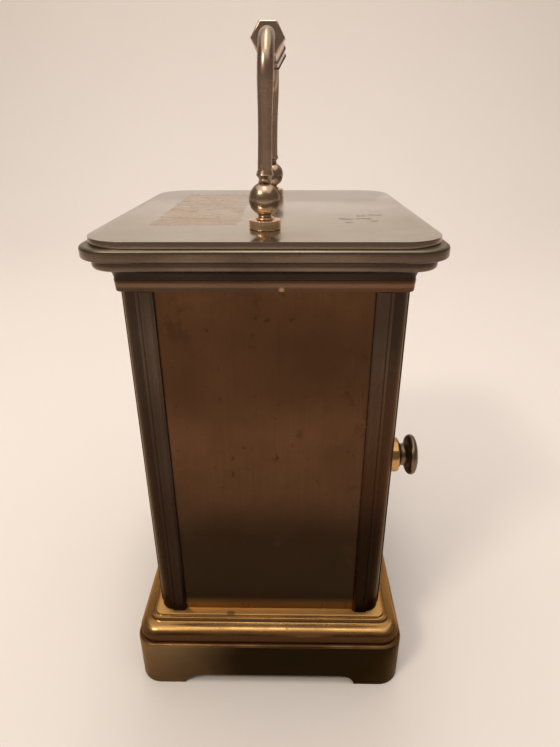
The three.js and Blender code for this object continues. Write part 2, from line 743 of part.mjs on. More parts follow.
function addBail() {
  const bail = new THREE.Group();
  bail.position.z = PIVOT_Z;
  bail.rotation.x = -radians(BAIL_LEAN);
  clock.add(bail);

  const right = add('handle_arm_right', armGeometry(), brassAged, bail);
  right.position.x = POST_X;
  const left = add('handle_arm_left', armGeometry(), brassAged, bail);
  left.position.x = -POST_X;
  left.rotation.z = Math.PI;

  const hexagon = (x, radius) => {
    const loop = [];
    for (let i = 0; i < 6; i += 1) {
      const angle = radians(60 * i);
      loop.push(new THREE.Vector3(x, radius * Math.cos(angle), radius * Math.sin(angle)));
    }
    return loop;
  };
  const chamfer = 0.45;
  const middleRingHalf = 0.7;
  const endRingWidth = 1.4;
  const slope = 0.15;
  const barR = GRIP_CORNER_R - 0.32;
  const half = [
    [middleRingHalf, GRIP_CORNER_R],
    [middleRingHalf + slope, barR],
    [GRIP_HALF - endRingWidth - slope, barR],
    [GRIP_HALF - endRingWidth, GRIP_CORNER_R],
    [GRIP_HALF - chamfer, GRIP_CORNER_R],
    [GRIP_HALF, GRIP_CORNER_R - chamfer],
  ];
  const otherHalf = half.map(([x, radius]) => [-x, radius]).reverse();
  const bar = loft([...otherHalf, ...half].map(([x, radius]) => hexagon(x, radius)));
  const sockets = [-1, 1].map((sign) => box([-3, -1.1, -1.1], [3, 1.1, 1.1]).translate(sign * GRIP_HALF, 0, 0));
  add('handle_grip', cut(bar, sockets), brassAged, bail).position.z = BAIL_RADIUS;
}

// ---------------------------------------------------------------- movement

/** y of a plane that lies `depth` behind the movement's front face. */
const behind = (depth) => MOVEMENT_FRONT + depth;

const ADDENDUM = 0.8;
const DEDENDUM = 1.4;
const TIP_SHARE = 0.12;             // width of a tooth's tip, as a share of the pitch

// The going train turns the centre wheel once an hour. Each wheel lies behind the one it drives.
const CENTRE = { x: 0, z: DIAL_Z };
const THIRD = { x: CENTRE.x + 9 * Math.cos(radians(160)), z: CENTRE.z + 9 * Math.sin(radians(160)) };
const FIFTH = { x: CENTRE.x + 6.5 * Math.cos(radians(60)), z: CENTRE.z + 6.5 * Math.sin(radians(60)) };
const ROTOR = { x: FIFTH.x + 6 * Math.cos(radians(60)), z: FIFTH.z + 6 * Math.sin(radians(60)) };
const SETTING = { x: CENTRE.x + 11, z: CENTRE.z };

const LEVEL = {                     // [front, back] depths of each pair of meshing wheels
  hour: [1.5, 2.1],
  minute: [2.7, 3.3],
  centre: [4.3, 4.9],
  third: [5.9, 6.5],
  second: [7.5, 8.1],
  fifth: [9.1, 9.7],
  magnet: [10.6, 12.2],
};

const distance = (a, b) => Math.hypot(a.x - b.x, a.z - b.z);

/** The angle of a tooth of a gear at `to`, so that it meshes with the gear at `from`. */
function meshPhase(from, fromTeeth, fromPhase, to, toTeeth) {
  const line = Math.atan2(to.z - from.z, to.x - from.x);
  const share = (line - fromPhase) / ((2 * Math.PI) / fromTeeth);
  const fraction = share - Math.floor(share);
  return line + Math.PI + ((fraction - 0.5) * 2 * Math.PI) / toTeeth;
}

/** The outline of a gear about its own centre, one tooth centred on the angle `phase`. */
function gearOutline(teeth, module, phase) {
  const pitchRadius = (teeth * module) / 2;
  const step = (2 * Math.PI) / teeth;
  const points = [];
  for (let i = 0; i < teeth; i += 1) {
    const middle = phase + i * step;
    const tip = pitchRadius + ADDENDUM * module;
    const root = pitchRadius - DEDENDUM * module;
    const halfTip = (step * TIP_SHARE) / 2;
    points.push([tip * Math.cos(middle - halfTip), tip * Math.sin(middle - halfTip)]);
    points.push([tip * Math.cos(middle + halfTip), tip * Math.sin(middle + halfTip)]);
    points.push([root * Math.cos(middle + step / 2), root * Math.sin(middle + step / 2)]);
  }
  return points;
}

function gear(teeth, module, phase, level, bore = 0) {
  const holes = bore > 0 ? [circle(bore, 0, 0, 12)] : [];
  return slab(gearOutline(teeth, module, phase), behind(level[0]), behind(level[1]), holes);
}

function arbor(radius, frontDepth, backDepth, segments = 10) {
  return alongY(pin(radius, behind(frontDepth), behind(backDepth), segments));
}

function place(name, geometry, material, centre) {
  add(name, geometry, material).position.set(centre.x, 0, centre.z);
}

function addGoingTrain() {
  const centreTeeth = 48;
  const thirdPinion = 6;
  const thirdTeeth = 45;
  const secondPinion = 6;
  const secondTeeth = 30;
  const fifthPinion = 6;
  const fifthTeeth = 36;
  const rotorPinion = 6;
  const centreModule = (2 * distance(CENTRE, THIRD)) / (centreTeeth + thirdPinion);
  const thirdModule = (2 * distance(CENTRE, THIRD)) / (thirdTeeth + secondPinion);
  const secondModule = (2 * distance(CENTRE, FIFTH)) / (secondTeeth + fifthPinion);
  const fifthModule = (2 * distance(FIFTH, ROTOR)) / (fifthTeeth + rotorPinion);

  const centreGear = gear(centreTeeth, centreModule, 0, LEVEL.centre, ARBOR_R + 0.12);
  place('centre_wheel', centreGear, whitePlastic, CENTRE);

  const thirdPhase = meshPhase(CENTRE, centreTeeth, 0, THIRD, thirdPinion);
  place('third_wheel', join([
    gear(thirdPinion, centreModule, thirdPhase, [LEVEL.centre[0] - 0.2, LEVEL.third[0] + 0.1]),
    gear(thirdTeeth, thirdModule, 0, LEVEL.third),
    arbor(0.4, LEVEL.centre[0] - 0.9, LEVEL.third[1] + 0.8),
  ]), whitePlastic, THIRD);

  const secondPhase = meshPhase(THIRD, thirdTeeth, 0, CENTRE, secondPinion);
  place('second_wheel', join([
    gear(secondPinion, thirdModule, secondPhase, [LEVEL.third[0] - 0.2, LEVEL.second[0] + 0.1]),
    gear(secondTeeth, secondModule, 0, LEVEL.second),
    arbor(0.4, LEVEL.third[0] - 0.5, LEVEL.second[1] + 0.8),
  ]), whitePlastic, CENTRE);

  const fifthPhase = meshPhase(CENTRE, secondTeeth, 0, FIFTH, fifthPinion);
  place('fifth_wheel', join([
    gear(fifthPinion, secondModule, fifthPhase, [LEVEL.second[0] - 0.2, LEVEL.fifth[0] + 0.1]),
    gear(fifthTeeth, fifthModule, 0, LEVEL.fifth),
    arbor(0.4, LEVEL.second[0] - 0.7, LEVEL.fifth[1] + 0.6),
  ]), whitePlastic, FIFTH);

  const rotorPhase = meshPhase(FIFTH, fifthTeeth, 0, ROTOR, rotorPinion);
  place('rotor', join([
    gear(rotorPinion, fifthModule, rotorPhase, [LEVEL.fifth[0] - 0.2, LEVEL.magnet[0] + 0.1]),
    arbor(3.0, ...LEVEL.magnet, 16),
    arbor(0.4, LEVEL.fifth[0] - 0.7, LEVEL.magnet[1] + 0.8),
  ]), blackSteel, ROTOR);
}

const ARBOR_R = 1.0;
const HOUR_PIPE_R = 2.3;
const HOUR_HAND_Y = -22.75;         // front faces of the two hands
const MINUTE_HAND_Y = -23.7;
const HAND_THICK = 0.35;

function addMotionWork() {
  const cannonTeeth = 8;
  const minuteTeeth = 24;
  const minutePinion = 8;
  const hourTeeth = 32;
  const minuteModule = (2 * distance(CENTRE, SETTING)) / (cannonTeeth + minuteTeeth);
  const hourModule = (2 * distance(CENTRE, SETTING)) / (minutePinion + hourTeeth);

  const arborTip = MINUTE_HAND_Y - 0.9 - MOVEMENT_FRONT;
  place('minute_arbor', join([
    gear(cannonTeeth, minuteModule, 0, LEVEL.minute),
    arbor(ARBOR_R, arborTip, LEVEL.centre[1] + 0.3, 12),
  ]), brassPolished, CENTRE);

  const minutePhase = meshPhase(CENTRE, cannonTeeth, 0, SETTING, minuteTeeth);
  place('minute_wheel', join([
    gear(minuteTeeth, minuteModule, minutePhase, LEVEL.minute),
    gear(minutePinion, hourModule, 0, [LEVEL.hour[0] - 0.1, LEVEL.minute[0] + 0.1]),
    arbor(0.8, LEVEL.hour[0] - 0.4, MOVEMENT_DEPTH + 2.2),
  ]), whitePlastic, SETTING);

  const hourPhase = meshPhase(SETTING, minutePinion, 0, CENTRE, hourTeeth);
  const pipeFront = HOUR_HAND_Y - 0.15;
  place('hour_wheel', cut(join([
    gear(hourTeeth, hourModule, hourPhase, LEVEL.hour),
    alongY(pin(HOUR_PIPE_R, pipeFront, behind(LEVEL.hour[1]), 16)),
  ]), [alongY(pin(ARBOR_R + 0.25, pipeFront - 1, behind(LEVEL.hour[1]) + 1, 14))]), whitePlastic, CENTRE);

  const knobFront = behind(MOVEMENT_DEPTH + 0.3);
  const knobBack = knobFront + 2.6;
  const knurls = 16;
  const outline = [];
  for (let i = 0; i < 2 * knurls; i += 1) {
    const radius = i % 2 ? 3.75 : 4.1;
    const angle = (Math.PI * i) / knurls;
    outline.push([radius * Math.cos(angle), radius * Math.sin(angle)]);
  }
  place('setting_knob', slab(outline, knobFront, knobBack, [circle(0.95, 0, 0, 10)]), blackPlastic, SETTING);
}

/** A hand with a round boss and a blade that widens to a spade near its tip, pointing up at 0. */
function handGeometry(length, bossR, boreR, spadeR, tailLength, faceY) {
  const spadeZ = length - 3.2 * spadeR;
  const stem = 0.45;
  const right = [
    [stem, bossR * 0.8],
    [stem * 0.8, spadeZ - spadeR * 1.1],
    [spadeR, spadeZ],
    [spadeR * 0.8, spadeZ + spadeR * 0.8],
    [0.22, spadeZ + spadeR * 1.5],
    [0.08, length],
  ];
  const tail = [[stem * 0.8, -bossR * 0.8], [stem, -tailLength]];
  const side = [...tail.reverse(), ...right];
  const outline = [...side, ...side.map(([x, z]) => [-x, z]).reverse()];
  const blade = slab(outline, faceY, faceY + HAND_THICK);
  const boss = alongY(pin(bossR, faceY, faceY + HAND_THICK, 16));
  const bore = alongY(pin(boreR, faceY - 1, faceY + HAND_THICK + 1, 14));
  return cut(join([blade, boss]), [bore]);
}

function addHands() {
  const minutes = 9;
  const hours = 10 + minutes / 60;
  const hourHand = handGeometry(13.5, 3.3, HOUR_PIPE_R + 0.1, 1.5, 3.6, HOUR_HAND_Y);
  hourHand.rotateY(radians(30 * hours));
  place('hour_hand', hourHand, blackSteel, CENTRE);
  const minuteHand = handGeometry(20.0, 2.2, ARBOR_R + 0.1, 1.15, 4.6, MINUTE_HAND_Y);
  minuteHand.rotateY(radians(6 * minutes));
  place('minute_hand', minuteHand, blackSteel, CENTRE);

  const nut = turned([
    [0, MINUTE_HAND_Y - 1.15],
    [1.0, MINUTE_HAND_Y - 1.1],
    [1.55, MINUTE_HAND_Y - 0.75],
    [1.7, MINUTE_HAND_Y - SEAT],
    [ARBOR_R + 0.12, MINUTE_HAND_Y - SEAT],
    [ARBOR_R + 0.12, MINUTE_HAND_Y - 0.95],
    [0, MINUTE_HAND_Y - 0.95],
  ], 16);
  place('hand_nut', alongY(nut), brassPolished, CENTRE);
}

function addHousings() {
  const low = DIAL_Z - MOVEMENT_HALF;
  const high = DIAL_Z + MOVEMENT_HALF;
  const inner = MOVEMENT_HALF - HOUSING_WALL;
  const splitFront = behind(HOUSING_SPLIT - SEAT);
  const splitBack = behind(HOUSING_SPLIT + SEAT);
  const back = behind(MOVEMENT_DEPTH);

  const stemFront = -22.35;
  const front = join([
    box([-MOVEMENT_HALF, MOVEMENT_FRONT, low], [MOVEMENT_HALF, splitFront, high]),
    alongY(pin(STEM_R, stemFront, MOVEMENT_FRONT + 0.5, 20)).translate(0, 0, DIAL_Z),
  ]);
  add('movement_front_housing', cut(front, [
    box([-inner, behind(0.8), low + HOUSING_WALL], [inner, splitFront + 1, high - HOUSING_WALL]),
    alongY(pin(HOUR_PIPE_R + 0.25, stemFront - 1, behind(2), 16)).translate(0, 0, DIAL_Z),
  ]), blackPlastic);

  const rear = box([-MOVEMENT_HALF, splitBack, low], [MOVEMENT_HALF, back, high]);
  add('movement_rear_housing', cut(rear, [
    box([-inner, splitBack - 1, BAY_TOP + HOUSING_WALL], [inner, back - 0.9, high - HOUSING_WALL]),
    box([-inner, splitBack - 1, low + HOUSING_WALL], [inner, back + 1, BAY_TOP]),
    alongY(pin(1.3, back - 2, back + 2)).translate(SETTING.x, 0, SETTING.z),
  ]), blackPlastic);

  const washer = tube(7.0, STEM_R + 0.3, DIAL_BACK + SEAT, MOVEMENT_FRONT - SEAT, 20);
  place('mounting_washer', alongY(washer), rubber, CENTRE);

  const nutBack = MASK_BACK - 0.05;
  const nut = cut(pin(6.2, nutBack - 1.6, nutBack, 6), [pin(STEM_R + 0.2, nutBack - 3, nutBack + 1, 20)]);
  place('mounting_nut', alongY(nut), brassPolished, CENTRE);
}

function addElectrics() {
  const coilZ = 86.0;
  const coilY = behind(9.4);
  const coilHalf = 11.0;
  const coilX = -3.0;
  const bobbinR = 3.6;
  const windingR = 3.1;
  const flange = 0.8;
  const coil = turned([
    [0, -coilHalf],
    [bobbinR, -coilHalf],
    [bobbinR, -coilHalf + flange],
    [windingR, -coilHalf + flange],
    [windingR, coilHalf - flange],
    [bobbinR, coilHalf - flange],
    [bobbinR, coilHalf],
    [0, coilHalf],
  ], 16);
  add('coil', alongX(coil), copper).position.set(coilX, coilY, coilZ);

  const legInner = coilHalf + 0.3;
  const legOuter = legInner + 2.6;
  const barLow = ROTOR.z - 2.2;
  const barHigh = ROTOR.z + 2.2;
  const legTop = coilZ + 1.6;
  const [front, rear] = [behind(11.0), behind(11.8)];
  const legs = [-1, 1].map((sign) => {
    const ends = [coilX + sign * legInner, coilX + sign * legOuter].sort((a, b) => a - b);
    return box([ends[0], front, barLow], [ends[1], rear, legTop]);
  });
  const bar = box([coilX - legOuter, front, barLow], [coilX + legOuter, rear, barHigh]);
  const eye = alongY(pin(5.0, front, rear, 20)).translate(ROTOR.x, 0, ROTOR.z);
  const eyeHole = alongY(pin(3.35, front - 1, rear + 1, 16)).translate(ROTOR.x, 0, ROTOR.z);
  add('stator', cut(join([bar, eye, ...legs]), [eyeHole]), steel);

  const board = box([-25.5, behind(12.4), 58], [-18.2, behind(13.2), 91]);
  const crystal = pin(1.0, 66, 72.5, 10).translate(-21.5, behind(11.6), 0);
  add('circuit_board', join([board, crystal]), boardGreen);

  const cellZ = DIAL_Z - MOVEMENT_HALF + HOUSING_WALL + CELL_R + 0.4;
  const cellY = behind(8.35);
  const cell = turned([
    [0, -24.6],
    [6.0, -24.6],
    [CELL_R, -24.3],
    [CELL_R, 24.2],
    [6.4, 24.5],
    [2.7, 24.5],
    [2.7, 25.5],
    [0, 25.5],
  ], 20);
  add('battery_cell', alongX(cell), cellSleeve).position.set(-0.6, cellY, cellZ);

  const bayEnd = MOVEMENT_HALF - HOUSING_WALL - 0.1;
  const contactLow = cellZ - 4.5;
  const contactHigh = cellZ + 4.5;
  add('positive_contact', box(
    [bayEnd - 0.4, cellY - 4, contactLow],
    [bayEnd, cellY + 4, contactHigh],
  ), steel);
  const spring = [];
  for (const [radius, x] of [[4.2, 0.4], [3.3, 0.75], [2.2, 1.1]]) {
    spring.push(alongX(pin(radius, 0.2, x, 16)));
  }
  const negative = join([box([0, -4.5, -4.5], [0.4, 4.5, 4.5]), ...spring]);
  add('negative_contact', negative, steel).position.set(-bayEnd, cellY, cellZ);
}

// ---------------------------------------------------------------- assembly

addBase();
addColumns();
addSidePanels();
addCornice();
addTopPlate();
addFront();
addDoor();
addHandlePosts();
addBail();
addHousings();
addGoingTrain();
addMotionWork();
addHands();
addElectrics();

// The origin is under the middle of the whole clock, door knob included.
const LEDGE_OVERHANG = 5.75;
clock.position.y = -(KNOB_TIP_Y - FACE_Y - LEDGE_OVERHANG) / 2;

export default clock;
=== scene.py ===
import json
import math

import bpy
from mathutils import Matrix, Vector


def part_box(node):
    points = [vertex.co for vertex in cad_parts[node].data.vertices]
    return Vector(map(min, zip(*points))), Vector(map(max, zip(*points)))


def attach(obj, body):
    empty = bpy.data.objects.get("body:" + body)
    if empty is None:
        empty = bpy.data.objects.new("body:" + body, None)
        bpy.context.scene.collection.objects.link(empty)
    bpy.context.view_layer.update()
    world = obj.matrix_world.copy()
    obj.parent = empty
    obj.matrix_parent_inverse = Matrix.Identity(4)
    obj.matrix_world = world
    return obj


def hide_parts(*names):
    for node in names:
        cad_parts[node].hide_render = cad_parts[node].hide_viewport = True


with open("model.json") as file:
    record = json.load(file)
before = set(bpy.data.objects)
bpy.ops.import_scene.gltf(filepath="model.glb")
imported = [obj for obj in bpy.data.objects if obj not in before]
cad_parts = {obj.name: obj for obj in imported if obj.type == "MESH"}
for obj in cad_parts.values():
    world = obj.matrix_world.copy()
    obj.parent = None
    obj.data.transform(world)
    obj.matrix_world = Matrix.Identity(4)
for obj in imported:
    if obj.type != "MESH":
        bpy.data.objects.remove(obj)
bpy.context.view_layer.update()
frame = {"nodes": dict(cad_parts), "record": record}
nodes = frame["nodes"]

# ------------------------------------------------------------ sizes shared with the frame
# Lengths are in mm. x and y are measured from the middle of the case and z from the table.

MM = 0.001
plate_low, plate_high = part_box("top_plate")
CASE_Y = (plate_low.y + plate_high.y) / 2    # the case's middle in the frame, in metres

SEAT = 0.05             # clearance between two pieces that touch
FACE_X = 34.0           # outer faces of the columns
FACE_Y = 28.4
COLUMN = 7.0            # width of a column
BEAD = 3.4              # where a column's flat faces end and its round corner starts
PANEL_SETBACK = 1.1     # side panel's face behind the column's face
PLINTH_OVERHANG = 5.7
PLINTH_TOP = 13.5
BASE_TOP = 19.8
CORNICE_BOTTOM = 104.7
COVE_BOTTOM = 107.15
COVE_TOP = 109.25
CORNICE_TOP = 113.7
PLATE_OVERHANG = 4.65
PLATE_CORNER_R = 8.5
PLATE_TOP = 115.0
POST_X = 26.0
PIVOT_Z = 120.6
BALL_R = 3.1
BAIL_RADIUS = 27.37     # from the pivots to the axis of the grip
BAIL_LEAN = math.radians(1.15)
GRIP_HALF = 15.5
GRIP_CORNER_R = 3.32
MIDDLE_RING = 0.7       # half-width of the ring at the grip's middle
END_RING = GRIP_HALF - 1.4    # where the ring at each end of the grip starts
RING_SLOPE = 0.15
DIAL_Z = 66.0
DIAL_FRONT = (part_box("dial")[0].y - CASE_Y) / MM
DOOR_FACE_Y = 27.7
KNOB_X = 22.5
KNOB_Z = 60.6
SIDES = (("left", -1), ("right", 1))


# ------------------------------------------------------------ mesh helpers


def smooth_run(points, per_span=4):
    """A smooth curve through the points, the points among them."""
    given = [Vector(p) for p in points]
    ends = [2 * given[0] - given[1], *given, 2 * given[-1] - given[-2]]
    curve = []
    for i in range(1, len(ends) - 2):
        before, start, end, after = ends[i - 1:i + 3]
        for step in range(per_span):
            t = step / per_span
            curve.append(0.5 * (
                2 * start
                + (end - before) * t
                + (2 * before - 5 * start + 4 * end - after) * t ** 2
                + (3 * start - before - 3 * end + after) * t ** 3
            ))
    curve.append(given[-1])
    return [tuple(p) for p in curve]


def arc(centre, radius_x, radius_y, start, end, steps):
    """Points of part of an ellipse, in degrees, both ends among them."""
    points = []
    for i in range(steps + 1):
        angle = math.radians(start + (end - start) * i / steps)
        points.append((centre[0] + radius_x * math.cos(angle), centre[1] + radius_y * math.sin(angle)))
    return points


def loft(loops):
    """Vertices and faces of a closed skin through loops of equal length."""
    count = len(loops[0])
    verts = [point for loop in loops for point in loop]
    faces = []
    for level in range(len(loops) - 1):
        for i in range(count):
            a = level * count + i
            b = level * count + (i + 1) % count
            faces.append((a, b, b + count, a + count))
    last = (len(loops) - 1) * count
    faces.append(tuple(reversed(range(count))))
    faces.append(tuple(range(last, last + count)))
    return verts, faces


def rounded_rectangle(half_x, half_y, radius, z, steps):
    """A level loop with round corners, counter-clockwise from above."""
    loop = []
    for corner, (sign_x, sign_y) in enumerate([(1, 1), (-1, 1), (-1, -1), (1, -1)]):
        centre = (sign_x * (half_x - radius), sign_y * (half_y - radius))
        for x, y in arc(centre, radius, radius, 90 * corner, 90 * corner + 90, steps):
            loop.append((x, y, z))
    return loop


def moulding(profile, corner_radius, steps=14):
    """A moulding round the case: [overhang, z] from bottom to top."""
    return loft([
        rounded_rectangle(FACE_X + overhang, FACE_Y + overhang, corner_radius(overhang), z, steps)
        for overhang, z in profile
    ])


def lathe(profile, segments=48):
    """A solid of revolution about Z from [radius, z] points, bottom to top."""
    loops = []
    for radius, z in profile:
        loops.append([
            (
                radius * math.cos(2 * math.pi * i / segments),
                radius * math.sin(2 * math.pi * i / segments),
                z,
            )
            for i in range(segments)
        ])
    return loft(loops)


def prism(outline, low, high):
    """A flat outline in XY between two heights, counter-clockwise from above."""
    return loft([[(x, y, low) for x, y in outline], [(x, y, high) for x, y in outline]])


def slab(outline, low_y, high_y):
    """A flat outline in XZ between two values of y."""
    verts, faces = prism(outline, low_y, high_y)
    return [(x, depth, z) for x, z, depth in verts], [tuple(reversed(f)) for f in faces]


def box(low, high):
    """A box between two opposite corners."""
    outline = [(low[0], low[1]), (high[0], low[1]), (high[0], high[1]), (low[0], high[1])]
    return prism(outline, low[2], high[2])


def moved(shape, matrix):
    """The same shape in another place."""
    verts, faces = shape
    return [tuple(matrix @ Vector(v)) for v in verts], faces


def mesh_object(name, shape, matrix=None, smooth=30):
    """A mesh object from a shape in mm; edges sharper than `smooth` degrees stay crisp."""
    verts, faces = moved(shape, matrix) if matrix else shape
    mesh = bpy.data.meshes.new(name)
    mesh.from_pydata([(x * MM, y * MM + CASE_Y, z * MM) for x, y, z in verts], [], faces)
    mesh.validate()
    made = bpy.data.objects.new(name, mesh)
    bpy.context.scene.collection.objects.link(made)
    shade(made, smooth)
    return made


def shade(obj, smooth):
    """Smooth shading, with edges sharper than `smooth` degrees kept crisp."""
    for polygon in obj.data.polygons:
        polygon.use_smooth = True
    obj.data.set_sharp_from_angle(angle=math.radians(smooth))


def freeze(obj):
    """Applies the object's modifiers to its mesh."""
    bpy.context.view_layer.update()
    graph = bpy.context.evaluated_depsgraph_get()
    final = bpy.data.meshes.new_from_object(obj.evaluated_get(graph))
    obj.modifiers.clear()
    obj.data = final


def combine(obj, operation, shape, matrix=None):
    """Joins a shape to the object or takes it out, as the operation says."""
    tool = mesh_object("tool", shape, matrix)
    modifier = obj.modifiers.new("combine", "BOOLEAN")
    modifier.operation = operation
    modifier.solver = "EXACT"
    modifier.object = tool
    freeze(obj)
    bpy.data.objects.remove(tool)


def cut(obj, shapes):
    """Takes each of the shapes out of the object."""
    for shape in shapes:
        combine(obj, "DIFFERENCE", shape)
    shade(obj, 30)


def bevel(obj, width, segments=2, angle=32):
    """Rounds the edges sharper than `angle` degrees; the width is in mm."""
    modifier = obj.modifiers.new("edges", "BEVEL")
    modifier.width = width * MM
    modifier.segments = segments
    modifier.limit_method = "ANGLE"
    modifier.angle_limit = math.radians(angle)
    modifier.harden_normals = True
    modifier.use_clamp_overlap = True


def piece(obj, material, body, replaces=()):
    """Makes the object a piece that rides on a body and stands for the CAD nodes it replaces."""
    obj.data.materials.clear()
    obj.data.materials.append(material)
    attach(obj, body)
    if replaces:
        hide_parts(*replaces)


# ------------------------------------------------------------ material helpers


X, Y, Z = 0, 1, 2


class Graph:
    """A material's node tree, with short calls for the nodes used here."""

    def __init__(self, name):
        self.material = bpy.data.materials.new(name)
        self.material.use_nodes = True
        self.tree = self.material.node_tree
        self.shader = self.tree.nodes["Principled BSDF"]
        self.place = self.add("ShaderNodeTexCoord").outputs["Object"]

    def add(self, kind, inputs=None, **settings):
        """A new node with its settings and its inputs, each a value or another node's output."""
        node = self.tree.nodes.new(kind)
        for key, value in settings.items():
            setattr(node, key, value)
        for key, value in (inputs or {}).items():
            self.feed(node.inputs[key], value)
        return node

    def feed(self, socket, value):
        if isinstance(value, bpy.types.NodeSocket):
            self.tree.links.new(value, socket)
        else:
            socket.default_value = value

    def set(self, **inputs):
        """Inputs of the Principled shader, with _ for each space in their names."""
        for key, value in inputs.items():
            self.feed(self.shader.inputs[key.replace("_", " ")], value)

    def stretched(self, scale, rotation=(0, 0, 0)):
        """The place on the object, stretched and turned for a drawn-out noise."""
        inputs = {"Vector": self.place, "Scale": scale, "Rotation": rotation}
        return self.add("ShaderNodeMapping", inputs).outputs["Vector"]

    def noise(self, scale, detail=3.0, roughness=0.5, vector=None, distortion=0.0):
        node = self.add("ShaderNodeTexNoise", {
            "Vector": vector or self.place,
            "Scale": scale,
            "Detail": detail,
            "Roughness": roughness,
            "Distortion": distortion,
        })
        return node.outputs["Fac"]

    def maths(self, operation, a, b=0.0):
        node = self.add("ShaderNodeMath", operation=operation)
        self.feed(node.inputs[0], a)
        self.feed(node.inputs[1], b)
        return node.outputs[0]

    def times(self, a, b):
        return self.maths("MULTIPLY", a, b)

    def plus(self, a, b):
        return self.maths("ADD", a, b)

    def range(self, value, low, high, to_low=0.0, to_high=1.0, smooth=False):
        """Maps low..high to to_low..to_high and holds the end values outside."""
        kind = "SMOOTHSTEP" if smooth else "LINEAR"
        node = self.add("ShaderNodeMapRange", {
            "Value": value,
            "From Min": low,
            "From Max": high,
            "To Min": to_low,
            "To Max": to_high,
        }, interpolation_type=kind, clamp=True)
        return node.outputs["Result"]

    def mix(self, factor, a, b):
        """Colour a where the factor is 0, colour b where it is 1."""
        node = self.add("ShaderNodeMix", data_type="RGBA")
        self.feed(node.inputs[0], factor)
        self.feed(node.inputs[6], a)
        self.feed(node.inputs[7], b)
        return node.outputs[2]

    def spot(self, centre, radius, soft=0.4):
        """1 within `radius` mm of a point of the case's frame, falling to 0 over `soft` mm."""
        node = self.add("ShaderNodeVectorMath", operation="DISTANCE")
        self.feed(node.inputs[0], self.place)
        self.feed(node.inputs[1], (centre[0] * MM, centre[1] * MM + CASE_Y, centre[2] * MM))
        return self.range(node.outputs["Value"], radius * MM, (radius + soft) * MM, 1.0, 0.0, smooth=True)

    def along(self, axis):
        """The distance along an axis of the case's frame, in mm."""
        value = self.add("ShaderNodeSeparateXYZ", {"Vector": self.place}).outputs[axis]
        if axis == Y:
            value = self.maths("SUBTRACT", value, CASE_Y)
        return self.times(value, 1 / MM)

    def band(self, value, low, high, soft=0.3):
        """1 where the value lies between low and high, falling to 0 over `soft` on both sides."""
        rise = self.range(value, low - soft, low, smooth=True)
        fall = self.range(value, high, high + soft, 1.0, 0.0, smooth=True)
        return self.times(rise, fall)

    def bump(self, height, distance, strength=1.0, normal=None):
        """A normal that follows a height map; the distance is in mm."""
        inputs = {"Height": height, "Distance": distance * MM, "Strength": strength}
        if normal is not None:
            inputs["Normal"] = normal
        return self.add("ShaderNodeBump", inputs).outputs["Normal"]


def colour(r, g, b):
    return (r, g, b, 1.0)


def shaded(tone, share):
    """The same hue with a share of its brightness, at most full."""
    return colour(*(min(1.0, c * share) for c in tone[:3]))


class Finish:
    """The colour, roughness and normal of a metal while its layers are put on."""

    def __init__(self, name, light, dark, rough, cloud=55.0, spots=0.35, scratch=0.25):
        """Aged brass: clouds of tarnish, fine mottle, specks and hairline scratches."""
        g = self.g = Graph(name)
        self.dark = dark
        clouds = g.noise(cloud, 4.0, 0.55)
        fine = g.noise(900.0, 2.0)
        specks = g.range(g.noise(420.0, 3.0, 0.6), 0.66, 0.74, 0.0, spots, smooth=True)
        hair = g.noise(260.0, 2.0, 0.5, g.stretched((1.0, 1.0, 9.0), (0.4, 0.9, 0.2)))
        hair = g.range(hair, 0.62, 0.66, 0.0, scratch)
        self.tone = g.mix(g.range(clouds, 0.36, 0.68, smooth=True), light, dark)
        self.tone = g.mix(g.range(fine, 0.35, 0.65, 0.0, 0.18), self.tone, dark)
        self.rough = g.range(clouds, 0.3, 0.7, rough[0], rough[1])
        self.normal = g.bump(g.noise(700.0, 3.0), 0.006, 0.3)
        self.layer(specks, shaded(dark, 0.3), rougher=0.3)
        self.layer(hair, shaded(light, 1.6), 0.3, rougher=0.3)
        self.normal = g.bump(hair, 0.004, 0.5, self.normal)

    def layer(self, mask, tone, share=1.0, rougher=0.0):
        """Lays another colour over the metal, a share of it where the mask is 1."""
        g = self.g
        if share != 1.0:
            mask = g.times(mask, share)
        self.tone = g.mix(mask, self.tone, tone)
        if rougher:
            self.rough = g.plus(self.rough, g.times(mask, rougher))

    def grain(self, scale, amount=0.35, depth=0.02, rougher=0.07):
        """A brushed or drawn grain: fine lines along the axis with the smallest scale."""
        g = self.g
        lines = g.noise(1.0, 3.0, 0.6, g.stretched(scale))
        self.tone = g.mix(g.range(lines, 0.35, 0.65, 0.0, amount), self.tone, self.dark)
        self.rough = g.plus(self.rough, g.range(lines, 0.3, 0.7, -0.7 * rougher, rougher))
        self.normal = g.bump(lines, depth, 0.45, self.normal)
        return self

    def done(self, **extra):
        """The material itself, with any more inputs of the shader."""
        self.g.set(Base_Color=self.tone, Metallic=1.0, Roughness=self.rough, Normal=self.normal, **extra)
        return self.g.material


